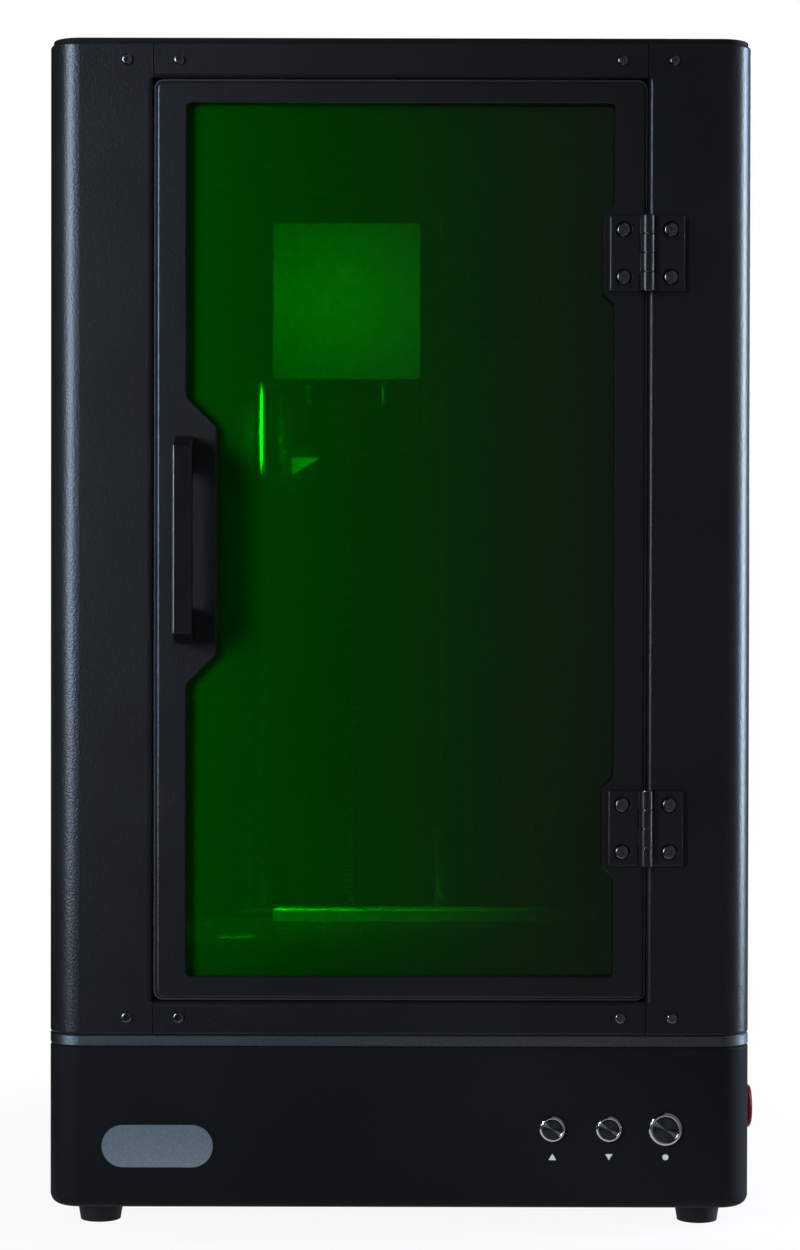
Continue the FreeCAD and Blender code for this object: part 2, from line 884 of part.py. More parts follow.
def frame_loop(inset, width, ys):
    """Flat upright frame, set in from the door opening by an inset."""
    outer = prism(rectangle((inset - opening_half, opening_half - inset),
                            (opening_bottom + inset, opening_top - inset)), "xz", ys[0], ys[1])
    inset += width
    inner = prism(rectangle((inset - opening_half, opening_half - inset),
                            (opening_bottom + inset, opening_top - inset)), "xz", ys[0], ys[1])
    return outer.cut(inner)


def door_jamb():
    return frame_loop(fit_gap, jamb_width - fit_gap, (jamb_front, jamb_front + jamb_thickness))


def door_seal():
    return frame_loop(door_gap, seal_width, (door_back + seal_gap, jamb_front))


def window_outline(margin):
    """Window edge with the notch beside the handle and the pads beside the hinges."""
    low = door_bottom + window_end_border
    high = door_top - window_end_border
    corners = [(-window_half, low), (window_half, low)]
    for level in hinge_levels:
        start, end = span(level, pad_length)
        corners += [(window_half, start - pad_depth), (window_half - pad_depth, start)]
        corners += [(window_half - pad_depth, end), (window_half, end + pad_depth)]
    corners += [(window_half, high), (-window_half, high)]
    start, end = span(door_middle, notch_length)
    corners += [(-window_half, end + notch_depth), (notch_depth - window_half, end)]
    corners += [(notch_depth - window_half, start), (-window_half, start - notch_depth)]
    return grown([(u, v, window_corner_radius) for u, v in corners], margin)


def door_frame():
    outline = rectangle((-door_half, door_half), (door_bottom, door_top), door_corner_radius)
    door = prism(outline, "xz", front, door_back)
    door = door.makeFillet(door_edge_radius, edges_at(door, "Y", front))
    door = door.cut(prism(window_outline(0.0), "xz", front, door_back))
    reach = window_half + window_side_border / 4
    rim = [e for e in edges_at(door, "Y", front) if max(abs(e.BoundBox.XMin), abs(e.BoundBox.XMax)) < reach]
    rim = [e for e in rim if e.BoundBox.ZMax < door_top - window_end_border / 2]
    rim = [e for e in rim if e.BoundBox.ZMin > door_bottom + window_end_border / 2]
    door = door.makeChamfer(window_edge_chamfer, rim)
    holes = [prism(window_outline(pane_margin + pane_clearance), "xz", pane_front, door_back)]
    holes += [screw_hole(at, outward, m4, hinge_screw_length) for at, outward in hinge_screws(-1)]
    holes += [screw_hole(at, outward, m4, door_thickness) for at, outward in handle_screws()]
    return door.cut(holes)


def door_window():
    return prism(window_outline(pane_margin), "xz", pane_front, door_back)


def window_retainer():
    outer = prism(window_outline(retainer_margin), "xz", door_back, door_back + retainer_thickness)
    return outer.cut(prism(window_outline(0.0), "xz", door_back, door_back + retainer_thickness))


def door_handle():
    half = handle_length / 2
    flat = half - handle_end_taper
    gap = half - handle_leg
    tip = front - handle_reach
    grip = tip + handle_grip
    shoulder = tip + handle_end_slope
    lower = [(front, -half, 0.0), (shoulder, -half, 0.0), (tip, -flat, 0.0)]
    upper = [(tip, flat, 0.0), (shoulder, half, 0.0), (front, half, 0.0)]
    inside = [(front, gap, 0.0), (grip, gap, handle_corner_radius)]
    inside += [(grip, -gap, handle_corner_radius), (front, -gap, 0.0)]
    section = [(y, door_middle + z, radius) for y, z, radius in lower + upper + inside]
    xs = span(handle_x, handle_width)
    handle = prism(section, "yz", xs[0], xs[1])
    rims = edges_at(handle, "X", xs[0]) + edges_at(handle, "X", xs[1])
    handle = handle.makeFillet(handle_edge_radius, [e for e in rims if e.BoundBox.YMin < front - fit_gap])
    bore = m4["shank"] + 2 * screw_clearance
    depth = handle_screw_length - door_thickness + screw_clearance
    holes = [rod(V(handle_x, front, at.z), BACK * -1, bore, depth) for at, outward in handle_screws()]
    return handle.cut(holes)


def hinge_leaf_at(level, direction):
    """One hinge leaf with every other knuckle: on the door (-1) or on the cabinet (1)."""
    zs = span(level, hinge_height)
    face = front - hinge_leaf_thickness
    leaf = box(sorted((hinge_x, hinge_x + direction * hinge_leaf)), (face, front), zs)
    rim = [e for e in edges_at(leaf, "Y", face) if abs(e.BoundBox.Center.x - hinge_x) > hinge_leaf / 4]
    leaf = leaf.makeFillet(hinge_leaf_edge, rim)
    step = hinge_height / hinge_knuckles
    clear = hinge_barrel + 2 * hinge_clearance
    for n in range(hinge_knuckles):
        low = zs[0] + n * step
        if (n % 2 == 0) == (direction > 0):
            start = V(hinge_x, hinge_y, low + hinge_clearance / 2)
            leaf = leaf.fuse(rod(start, UP, hinge_barrel, step - hinge_clearance))
        else:
            room = (low - hinge_clearance / 2, low + step + hinge_clearance / 2)
            leaf = leaf.cut(box(span(hinge_x, clear), (hinge_y, front), room))
    holes = [rod(V(hinge_x, hinge_y, zs[0]), UP, hinge_pin + 2 * running_clearance, hinge_height)]
    for at, outward in hinge_screws(direction):
        holes.append(rod(at, outward, hinge_counterbore, hinge_counterbore_depth))
        holes.append(screw_hole(at, outward, m4, hinge_leaf_thickness))
    return leaf.cut(holes)


def hinge_leaves(direction):
    return Part.makeCompound([hinge_leaf_at(level, direction) for level in hinge_levels])


def hinge_pins():
    pins = []
    for level in hinge_levels:
        zs = span(level, hinge_height)
        pins.append(rod(V(hinge_x, hinge_y, zs[0]), UP, hinge_pin, hinge_height))
    return Part.makeCompound(pins)


def door_screws():
    screws = [button_screw(at, outward, m4, handle_screw_length) for at, outward in handle_screws()]
    screws += [button_screw(at, outward, m4, hinge_screw_length) for at, outward in hinge_screws(-1)]
    return Part.makeCompound(screws)


def door_latch():
    left = -opening_half + latch_inset
    back = jamb_front + jamb_thickness
    latch = box((left, left + latch_width), (back, back + latch_depth), span(door_middle, latch_height))
    return latch.makeFillet(latch_edge, edges_at(latch, "Y", back + latch_depth))


def latch_strike():
    strike = box(span(strike_offset - door_half, strike_width), (door_back, door_back + strike_thickness),
                 span(door_middle, strike_height))
    return strike.makeFillet(strike_edge, edges_at(strike, "Y", door_back + strike_thickness))


def name_plate():
    level = base_middle - plate_drop
    ends = span(plate_inset - side, plate_width - plate_height)
    plate = box(ends, (front - plate_thickness, front), span(level, plate_height))
    for x in ends:
        plate = plate.fuse(rod(V(x, front, level), BACK * -1, plate_height, plate_thickness))
    return plate.removeSplitter()


def button_body(x, bezel, hole, cap):
    """Bezel and barrel of one push button, with the bore that its cap slides in."""
    at = V(x, front, button_level)
    flange = rod(at, BACK * -1, bezel, button_rise)
    flange = flange.makeChamfer(button_chamfer, edges_at(flange, "Y", front - button_rise))
    body = flange.fuse(rod(at, BACK, hole, button_barrel)).removeSplitter()
    mouth = V(x, front - button_rise, button_level)
    body = body.cut(rod(mouth, BACK, cap + 2 * cap_clearance, button_bore_depth))
    return body.cut(rod(mouth, BACK, button_stem + 2 * cap_clearance, button_barrel - button_rise))


def jog_button_bodies():
    places = (up_button_x, down_button_x)
    return Part.makeCompound([button_body(x, jog_bezel, jog_hole, jog_cap) for x in places])


def button_cap(x, cap):
    """Cap and stem of one push button."""
    at = V(x, front - button_rise - cap_proud, button_level)
    head = rod(at, BACK, cap, cap_thickness)
    head = head.makeFillet(cap_proud, edges_at(head, "Y", at.y))
    return head.fuse(rod(at, BACK, button_stem, button_stem_length)).removeSplitter()


def panel_nut(at, outward, hole):
    """Thin hexagon nut behind the panel that holds a button or the stop switch."""
    nut = hexagon(hole + 2 * nut_wall, -nut_thickness, 0)
    nut = nut.cut(Part.makeCylinder(hole / 2 + thread_clearance, nut_thickness, V(0, 0, -nut_thickness)))
    return placed(nut, at, outward)


def estop_place(shape):
    return placed(shape, V(side, estop_y, estop_level), RIGHT)


def estop_body():
    bezel = Part.makeCylinder(estop_bezel / 2, estop_bezel_rise)
    bezel = bezel.makeChamfer(estop_bezel_chamfer, edges_at(bezel, "Z", estop_bezel_rise))
    barrel = Part.makeCylinder(estop_hole / 2, estop_barrel, V(0, 0, -estop_barrel))
    body = bezel.fuse(barrel).removeSplitter()
    bore = estop_stem_diameter / 2 + running_clearance
    depth = estop_barrel - estop_end_wall
    return estop_place(body.cut(Part.makeCylinder(bore, depth + estop_bezel_rise, V(0, 0, -depth))))


def estop_stem():
    low = estop_stem_room - estop_barrel
    shoulder = estop_ceiling - cap_clearance
    tip = shoulder + estop_pivot_length
    stem = Part.makeCylinder(estop_stem_diameter / 2, shoulder - low, V(0, 0, low))
    pivot = Part.makeCylinder(estop_pivot_diameter / 2, tip - low, V(0, 0, low))
    return estop_place(stem.fuse(pivot).removeSplitter())


def estop_head():
    rim = estop_reach - estop_head_height
    head = Part.makeCylinder(estop_head_diameter / 2, estop_head_height, V(0, 0, rim))
    dome = min(estop_dome, edge_share * estop_head_height)
    head = head.makeFillet(dome, edges_at(head, "Z", estop_reach))
    skirt = estop_bezel / 2 + estop_skirt_gap
    head = head.cut(Part.makeCylinder(skirt, estop_ceiling - rim, V(0, 0, rim)))
    pivot = estop_pivot_diameter / 2 + running_clearance
    return estop_place(head.cut(Part.makeCylinder(pivot, estop_pivot_length, V(0, 0, estop_ceiling))))


def work_platform():
    xs = span(0, platform_width)
    plate = box(xs, (platform_front, platform_back), (platform_bottom, platform_top))
    plate = plate.makeChamfer(platform_edge, edges_at(plate, "Z", platform_top) + edges_along(plate, UP))
    hole = Part.makeCylinder(platform_hole / 2, platform_thickness, V(0, 0, -platform_thickness))
    rim = platform_hole / 2 + platform_chamfer
    hole = hole.fuse(Part.makeCone(platform_hole / 2, rim, platform_chamfer, V(0, 0, -platform_chamfer)))
    holes = []
    for column in range(platform_columns):
        for row in range(platform_rows):
            holes.append(hole.translated(V(grid_x(column), grid_y(row), platform_top)))
    return plate.cut(holes)


def platform_standoffs():
    reach = platform_width / 2 - standoff_inset
    pillars = []
    for x in (-reach, reach):
        for y in (platform_front + standoff_inset, platform_back - standoff_inset):
            pillars.append(rod(V(x, y, deck_top), UP, standoff_diameter, standoff_height))
    return Part.makeCompound(pillars)


def sunk_holes(seats):
    """Counterbores and clearance holes for screws whose heads are sunk."""
    holes = []
    for at, outward in seats:
        holes.append(rod(at, outward, m5["head"] + 2 * screw_clearance, m5["rise"]))
        holes.append(screw_hole(at, outward, m5, fence_height))
    return holes


def work_stops():
    left = fence_start_inset - platform_width / 2
    right = platform_width / 2 - fence_end_inset
    fence = slab(right - left, fence_width, fence_corner_radius, platform_top, platform_top + fence_height,
                 (left + right) / 2, grid_y(platform_rows - 1))
    fence = fence.makeFillet(stop_edge_radius, edges_at(fence, "Z", platform_top + fence_height))
    stop = slab(stop_length, stop_width, fence_corner_radius, platform_top, platform_top + stop_height,
                grid_x(stop_column), grid_y(stop_row))
    stop = stop.makeFillet(stop_edge_radius, edges_at(stop, "Z", platform_top + stop_height))
    return Part.makeCompound([fence.cut(sunk_holes(fence_screws())), stop.cut(sunk_holes([stop_screw()]))])


def column_plate():
    plate = box(span(head_x, column_width), (column_front, column_back), (deck_top, column_top))
    foot = box(span(head_x, column_width), (column_back - foot_plate_reach, column_back),
               (deck_top, deck_top + foot_plate_thickness))
    column = plate.fuse(foot).removeSplitter()
    return column.cut(rod(V(head_x, shaft_y, deck_top), UP, motor_pilot_diameter, foot_plate_thickness))


def shaft_support(low):
    face = column_front - support_depth
    support = box(span(head_x, column_width), (face, column_front), (low, low + support_height))
    support = support.makeChamfer(carriage_edge, edges_at(support, "Y", face))
    bore = shaft_diameter + 2 * running_clearance
    holes = [rod(V(x, shaft_y, low), UP, bore, support_height) for x in shaft_xs]
    holes.append(rod(V(head_x, shaft_y, low), UP, screw_diameter + 2 * running_clearance, support_height))
    return support.cut(holes)


def shaft_supports():
    low = deck_top + foot_plate_thickness
    return Part.makeCompound([shaft_support(low), shaft_support(column_top - support_height)])


def guide_shafts():
    low = deck_top + foot_plate_thickness
    length = column_top - low
    return Part.makeCompound([rod(V(x, shaft_y, low), UP, shaft_diameter, length) for x in shaft_xs])


def z_motor():
    motor = slab(motor_side, motor_side, motor_corner, base_top - motor_height, base_top, head_x, shaft_y)
    top = base_top + motor_pilot_height
    pilot = rod(V(head_x, shaft_y, base_top), UP, motor_pilot_diameter, motor_pilot_height)
    bore = rod(V(head_x, shaft_y, top), UP * -1, screw_diameter + 2 * running_clearance, motor_bore_depth)
    return motor.fuse(pilot).removeSplitter().cut(bore)


def lead_screw():
    low = base_top + motor_pilot_height - motor_bore_depth + cap_clearance
    return rod(V(head_x, shaft_y, low), UP, screw_diameter, column_top - screw_top_gap - low)


def carriage_block():
    """Wide shoulders round the bearings and a narrower stem below them for the nut and the flag."""
    ys = span(shaft_y, carriage_thickness)
    shoulders = box(span(head_x, carriage_width), ys, (shoulder_bottom, carriage_top))
    stem = box(span(head_x, carriage_stem), ys, (carriage_bottom, carriage_top))
    block = shoulders.fuse(stem).removeSplitter()
    block = block.makeChamfer(carriage_edge, edges_at(block, "Y", carriage_front))
    left = head_x - carriage_width / 2 + flag_inset
    flag_front = carriage_front + carriage_edge
    flag = [(left, carriage_bottom, 0.0), (left + flag_width, carriage_bottom, 0.0),
            (left, carriage_bottom - flag_drop, 0.0)]
    block = block.fuse(prism(flag, "xz", flag_front, flag_front + flag_thickness)).removeSplitter()
    bush_hole = bearing_diameter + 2 * running_clearance
    shoulder_height = carriage_top - shoulder_bottom
    holes = [rod(V(x, shaft_y, shoulder_bottom), UP, bush_hole, shoulder_height) for x in shaft_xs]
    at = V(head_x, shaft_y, carriage_bottom)
    holes.append(rod(at, UP, screw_diameter + 2 * screw_passage_gap, carriage_height))
    nut_hole = screw_diameter + 2 * nut_barrel_wall + 2 * running_clearance
    holes.append(rod(at, UP, nut_hole, nut_barrel_length))
    return block.cut(holes)


def carriage_bushes():
    """Four ball bushes on the guide shafts and the flanged nut on the screw."""
    pieces = []
    for x in shaft_xs:
        for low in (shoulder_bottom, carriage_top - bearing_length):
            bush = rod(V(x, shaft_y, low), UP, bearing_diameter, bearing_length)
            bore = rod(V(x, shaft_y, low), UP, shaft_diameter + 2 * running_clearance, bearing_length)
            pieces.append(bush.cut(bore))
    flange_low = V(head_x, shaft_y, carriage_bottom - nut_flange_thickness)
    nut = rod(flange_low, UP, nut_flange_diameter, nut_flange_thickness)
    length = nut_flange_thickness + nut_barrel_length
    nut = nut.fuse(rod(flange_low, UP, screw_diameter + 2 * nut_barrel_wall, length)).removeSplitter()
    pieces.append(nut.cut(rod(flange_low, UP, screw_diameter + 2 * running_clearance, length)))
    return Part.makeCompound(pieces)


def laser_head_body():
    low = carriage_bottom + laser_head_lift
    ys = (galvo_rear, carriage_front)
    body = box(span(head_x, laser_head_width), ys, (low, low + laser_head_height))
    slots = []
    pitch = laser_head_height / fin_count
    for n in range(fin_count):
        zs = span(low + (n + 0.5) * pitch, fin_slot)
        for x in span(head_x, laser_head_width - fin_depth):
            slots.append(box(span(x, fin_depth), ys, zs))
    return body.cut(slots)


def galvo_outline():
    return rectangle(span(head_x, galvo_width), (galvo_bottom, galvo_bottom + galvo_height), galvo_edge)


def galvo_housing():
    housing = prism(galvo_outline(), "xz", galvo_front, galvo_rear)
    room = box(span(head_x, galvo_width - 2 * galvo_wall), (galvo_front, galvo_rear - galvo_wall),
               (galvo_bottom + galvo_wall, galvo_ceiling))
    lens_hole = rod(V(head_x, head_y, galvo_bottom), UP, lens_bore, galvo_wall)
    beam_inlet = rod(V(head_x - mirror_offset, galvo_rear, mirror_z), BACK * -1, beam_hole, galvo_wall)
    return housing.cut([room, lens_hole, beam_inlet])


def galvo_cover():
    face = galvo_front - galvo_cover_thickness
    cover = prism(galvo_outline(), "xz", face, galvo_front)
    return cover.makeChamfer(galvo_cover_chamfer, edges_at(cover, "Y", face))


def lens_barrel():
    barrel_top = galvo_bottom - lens_adapter_height
    lip_top = lens_bottom + lens_lip_height
    barrel = rod(V(head_x, head_y, barrel_top), UP, lens_adapter_diameter, lens_adapter_height)
    barrel = barrel.fuse(rod(V(head_x, head_y, lip_top), UP, lens_barrel_diameter, lens_barrel_height))
    lip = rod(V(head_x, head_y, lens_bottom), UP, lens_lip_diameter, lens_lip_height)
    lip = lip.makeChamfer(lens_lip_chamfer, edges_at(lip, "Z", lens_bottom))
    barrel = barrel.fuse(lip).removeSplitter()
    bore = rod(V(head_x, head_y, lens_bottom), UP, lens_bore, galvo_bottom - lens_bottom)
    seat_diameter = lens_glass_diameter + 2 * running_clearance
    seat = rod(V(head_x, head_y, lens_bottom), UP, seat_diameter, lens_glass_recess + lens_glass_thickness)
    return barrel.cut([bore, seat])


def lens_glass():
    low = lens_bottom + lens_glass_recess
    glass = rod(V(head_x, head_y, low), UP, lens_glass_diameter, lens_glass_thickness)
    return glass.makeFillet(lens_glass_edge, edges_at(glass, "Z", low))


def red_pointers():
    pointers = []
    for x in span(head_x, pointer_spacing):
        at = V(x, galvo_front + pointer_setback, galvo_bottom)
        pointer = rod(at, UP * -1, pointer_collar, pointer_collar_height)
        pointer = pointer.fuse(rod(at, UP * -1, pointer_diameter, pointer_length)).removeSplitter()
        end = galvo_bottom - pointer_length
        pointers.append(pointer.makeFillet(pointer_edge, edges_at(pointer, "Z", end)))
    return Part.makeCompound(pointers)


def galvo_motors():
    wall = galvo_rear - galvo_wall
    bore = galvo_shaft + 2 * running_clearance
    seat = galvo_motor_length - galvo_shaft_seat
    upright_at = V(head_x - mirror_offset, head_y, galvo_ceiling)
    upright = rod(upright_at, UP * -1, galvo_motor_diameter, galvo_motor_length)
    upright = upright.cut(rod(upright_at - UP * seat, UP * -1, bore, galvo_shaft_seat))
    level_at = V(head_x, wall, mirror_z)
    level = rod(level_at, BACK * -1, galvo_motor_diameter, galvo_motor_length)
    level = level.cut(rod(level_at - BACK * seat, BACK * -1, bore, galvo_shaft_seat))
    return Part.makeCompound([upright, level])


def upright_mirror(shaft_length):
    """Scanning mirror at the origin with its shaft standing on it, turned to face the beam."""
    mirror = box(span(0, mirror_width), span(0, mirror_thickness), span(0, mirror_length))
    mirror.rotate(V(0, 0, 0), UP, mirror_angle)
    start = V(0, 0, mirror_length / 2 - mirror_grip)
    return mirror.fuse(rod(start, UP, galvo_shaft, shaft_length + mirror_grip)).removeSplitter()


def galvo_x_mirror():
    motor_end = galvo_ceiling - galvo_motor_length
    length = motor_end + galvo_shaft_seat - cap_clearance - mirror_z - mirror_length / 2
    return placed(upright_mirror(length), V(head_x - mirror_offset, head_y, mirror_z), UP)


def galvo_y_mirror():
    motor_end = galvo_rear - galvo_wall - galvo_motor_length
    length = motor_end + galvo_shaft_seat - cap_clearance - head_y - mirror_length / 2
    return placed(upright_mirror(length), V(head_x, head_y, mirror_z), BACK)


def exhaust_collar():
    flange_side = fan_side + 2 * collar_margin
    outline = rectangle(span(fan_x, flange_side), span(fan_z, flange_side), fan_corner)
    flange = prism(outline, "xz", rear, rear + collar_flange_thickness)
    tube = rod(V(fan_x, rear, fan_z), BACK, collar_diameter, collar_reach)
    tube = tube.makeChamfer(collar_chamfer, edges_at(tube, "Y", rear + collar_reach))
    collar = flange.fuse(tube).removeSplitter()
    holes = [screw_hole(at, outward, m3, collar_flange_thickness) for at, outward in collar_screws()]
    holes.append(rod(V(fan_x, rear, fan_z), BACK, collar_diameter - 2 * collar_wall, collar_reach))
    return collar.cut(holes)


def fan_frame():
    outline = rectangle(span(fan_x, fan_side), span(fan_z, fan_side), fan_corner)
    frame = prism(outline, "xz", fan_front, fan_back)
    frame = frame.cut(rod(V(fan_x, fan_front, fan_z), BACK, fan_bore, fan_depth))
    ys = (fan_front, fan_front + fan_motor_thickness)
    frame = frame.fuse(rod(V(fan_x, fan_front, fan_z), BACK, fan_hub, fan_motor_thickness))
    reach = fan_bore + fan_rim
    frame = frame.fuse(box(span(fan_x, reach), ys, span(fan_z, fan_strut)))
    frame = frame.fuse(box(span(fan_x, fan_strut), ys, span(fan_z, reach)))
    axle = rod(V(fan_x, fan_front, fan_z), BACK, fan_axle, fan_motor_thickness + fan_axle_length)
    frame = frame.fuse(axle).removeSplitter()
    return frame.cut([screw_hole(at, outward, m3, collar_screw_length) for at, outward in collar_screws()])


def fan_rotor():
    start = fan_front + fan_motor_thickness + fan_end_gap
    length = fan_back - fan_end_gap - start
    middle = V(fan_x, start + length / 2, fan_z)
    rotor = rod(V(fan_x, start, fan_z), BACK, fan_hub, length)
    rotor = rotor.makeFillet(fan_hub_edge, edges_at(rotor, "Y", start + length))
    tip = fan_bore / 2 - fan_tip_gap
    for n in range(fan_blades):
        blade = box((fan_hub / 4, tip), span(0, fan_blade_chord), span(0, fan_blade_thickness))
        blade.rotate(V(0, 0, 0), RIGHT, fan_blade_pitch)
        blade.rotate(V(0, 0, 0), BACK, 360 * n / fan_blades)
        blade.translate(middle)
        rotor = rotor.fuse(blade)
    bore = rod(V(fan_x, start, fan_z), BACK, fan_axle + 2 * running_clearance, fan_axle_length)
    return rotor.removeSplitter().cut(bore)


def laser_source():
    top = hatch_top + source_height
    ys = (electronics_back - source_depth, electronics_back)
    source = box((source_left, source_left + source_width), ys, (hatch_top, top))
    pitch = source_width / source_fins
    slots = []
    for n in range(source_fins):
        x = source_left + (n + 0.5) * pitch
        slots.append(box(span(x, source_fin_slot), ys, (top - source_fin_depth, top)))
    return source.cut(slots)


def power_supply():
    top = hatch_top + supply_height
    ys = (electronics_back - supply_depth, electronics_back)
    supply = box((supply_left, supply_left + supply_width), ys, (hatch_top, top))
    return supply.makeFillet(supply_edge, edges_at(supply, "Z", top))


def control_board():
    low = hatch_top + board_standoff
    x_middle = board_right - board_width / 2
    y_middle = board_front + board_depth / 2
    board = box(span(x_middle, board_width), span(y_middle, board_depth), (low, low + board_thickness))
    for x in span(x_middle, board_width - 2 * board_standoff_diameter):
        for y in span(y_middle, board_depth - 2 * board_standoff_diameter):
            board = board.fuse(rod(V(x, y, hatch_top), UP, board_standoff_diameter, board_standoff))
    chip_top = low + board_thickness + board_chip_height
    for x in span(x_middle, board_width / 2):
        board = board.fuse(box(span(x, board_chip), span(y_middle, board_chip), (low, chip_top)))
    return board.removeSplitter()


def power_inlet():
    outline = rectangle(span(inlet_x, inlet_width), span(base_middle, inlet_height), inlet_corner)
    inlet = prism(outline, "xz", rear, rear + inlet_flange)
    inlet = inlet.fuse(box(span(inlet_x, inlet_body_width), (rear - inlet_body_depth, rear),
                           span(base_middle, inlet_body_height)))
    face = rear + inlet_flange
    level = base_middle - socket_drop
    floor = face - socket_depth
    inlet = inlet.cut(box(span(inlet_x, socket_width), (floor, face), span(level, socket_opening)))
    for x, z in ((-blade_spacing, level), (0.0, level + blade_step), (blade_spacing, level)):
        blade_ys = (floor, floor + blade_length)
        inlet = inlet.fuse(box(span(inlet_x + x, blade_thickness), blade_ys, span(z, blade_width)))
    rocker_z = base_middle + rocker_rise
    well = rocker_length + 2 * rocker_end_room
    well_height = rocker_height + 2 * rocker_side_room
    inlet = inlet.cut(box(span(inlet_x, well), (face - rocker_well, face), span(rocker_z, well_height)))
    pin_run = well_height + 2 * rocker_pin_length
    pin_low = V(inlet_x, rear, rocker_z - pin_run / 2)
    return inlet.removeSplitter().cut(rod(pin_low, UP, rocker_pin + 2 * running_clearance, pin_run))


def power_rocker():
    half = rocker_length / 2
    crest = rear + inlet_flange + rocker_proud
    back = rear - rocker_back
    section = [(inlet_x - half, back, 0.0), (inlet_x + half, back, 0.0), (inlet_x + half, crest, 0.0)]
    section += [(inlet_x, crest - rocker_dip, 0.0), (inlet_x - half, crest, 0.0)]
    zs = span(base_middle + rocker_rise, rocker_height)
    rocker = prism(section, "xy", zs[0], zs[1])
    pin_low = V(inlet_x, rear, zs[0] - rocker_pin_length)
    pin = rod(pin_low, UP, rocker_pin, rocker_height + 2 * rocker_pin_length)
    rocker = rocker.fuse(pin).removeSplitter()
    rocker.rotate(V(inlet_x, rear, 0), UP, rocker_tilt)
    return rocker


def data_port():
    face = rear + data_wall
    shell = box(span(data_x, data_width), (rear - data_depth, face), span(base_middle, data_height))
    room = box(span(data_x, data_width - 2 * data_wall), (rear - data_depth + 2 * data_wall, face),
               span(base_middle, data_height - 2 * data_wall))
    tongue = box(span(data_x, data_tongue), (rear - data_depth, rear), span(base_middle, data_tongue))
    return shell.cut(room).fuse(tongue).removeSplitter()


def rear_sockets():
    return Part.makeCompound([power_inlet(), data_port()])


def cabinet_fasteners():
    """Every screw and panel nut that stays with the cabinet."""
    pieces = [button_screw(at, outward, m3, front_screw_length) for at, outward in panel_screws()]
    pieces += [button_screw(at, outward, m4, hinge_screw_length) for at, outward in hinge_screws(1)]
    pieces += [flat_screw(at, outward, m3, lid_screw_length) for at, outward in lid_screws()]
    pieces += [button_screw(at, outward, m4, foot_screw_length) for at, outward in foot_screws()]
    pieces += [button_screw(at, outward, m3, hatch_screw_length) for at, outward in hatch_screws()]
    pieces += [button_screw(at, outward, m3, collar_screw_length) for at, outward in collar_screws()]
    pieces += [button_screw(at, outward, m5, fence_screw_length) for at, outward in fence_screws()]
    stop_at, stop_outward = stop_screw()
    pieces.append(button_screw(stop_at, stop_outward, m5, stop_screw_length))
    for x, hole in ((up_button_x, jog_hole), (down_button_x, jog_hole), (start_button_x, start_hole)):
        pieces.append(panel_nut(V(x, front + base_wall, button_level), BACK * -1, hole))
    pieces.append(panel_nut(V(side - base_wall, estop_y, estop_level), RIGHT, estop_hole))
    return Part.makeCompound(pieces)


nodes = {
    "rubber_feet": rubber_feet(),
    "base_housing": base_housing(),
    "base_cover": base_cover(),
    "deck_plate": deck_plate(),
    "left_side_shell": left_side_shell(),
    "right_side_shell": right_side_shell(),
    "front_top_rail": front_top_rail(),
    "front_bottom_rail": front_bottom_rail(),
    "rear_panel": rear_panel(),
    "frame_rings": frame_rings(),
    "top_cover": top_cover(),
    "door_jamb": door_jamb(),
    "door_seal": door_seal(),
    "door_latch": door_latch(),
    "name_plate": name_plate(),
    "cabinet_fasteners": cabinet_fasteners(),
    "hinge_frame_leaves": hinge_leaves(1),
    "hinge_pins": hinge_pins(),
    "jog_button_bodies": jog_button_bodies(),
    "start_button_body": button_body(start_button_x, start_bezel, start_hole, start_cap),
    "up_button_cap": button_cap(up_button_x, jog_cap),
    "down_button_cap": button_cap(down_button_x, jog_cap),
    "start_button_cap": button_cap(start_button_x, start_cap),
    "estop_body": estop_body(),
    "estop_stem": estop_stem(),
    "estop_head": estop_head(),
    "door_frame": door_frame(),
    "door_window": door_window(),
    "window_retainer": window_retainer(),
    "door_handle": door_handle(),
    "door_screws": door_screws(),
    "hinge_door_leaves": hinge_leaves(-1),
    "latch_strike": latch_strike(),
    "work_platform": work_platform(),
    "platform_standoffs": platform_standoffs(),
    "work_stops": work_stops(),
    "column_plate": column_plate(),
    "shaft_supports": shaft_supports(),
    "guide_shafts": guide_shafts(),
    "z_motor": z_motor(),
    "lead_screw": lead_screw(),
    "carriage_block": carriage_block(),
    "carriage_bushes": carriage_bushes(),
    "laser_head_body": laser_head_body(),
    "galvo_housing": galvo_housing(),
    "galvo_cover": galvo_cover(),
    "galvo_motors": galvo_motors(),
    "galvo_x_mirror": galvo_x_mirror(),
    "galvo_y_mirror": galvo_y_mirror(),
    "lens_barrel": lens_barrel(),
    "lens_glass": lens_glass(),
    "red_pointers": red_pointers(),
    "exhaust_collar": exhaust_collar(),
    "fan_frame": fan_frame(),
    "fan_rotor": fan_rotor(),
    "laser_source": laser_source(),
    "power_supply": power_supply(),
    "control_board": control_board(),
    "rear_sockets": rear_sockets(),
    "power_rocker": power_rocker(),
}

os.makedirs("parts", exist_ok=True)
for name, shape in nodes.items():
    shape.exportStep("parts/" + name + ".step")
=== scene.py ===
import math

import bmesh
import bpy
from mathutils import Matrix, Vector


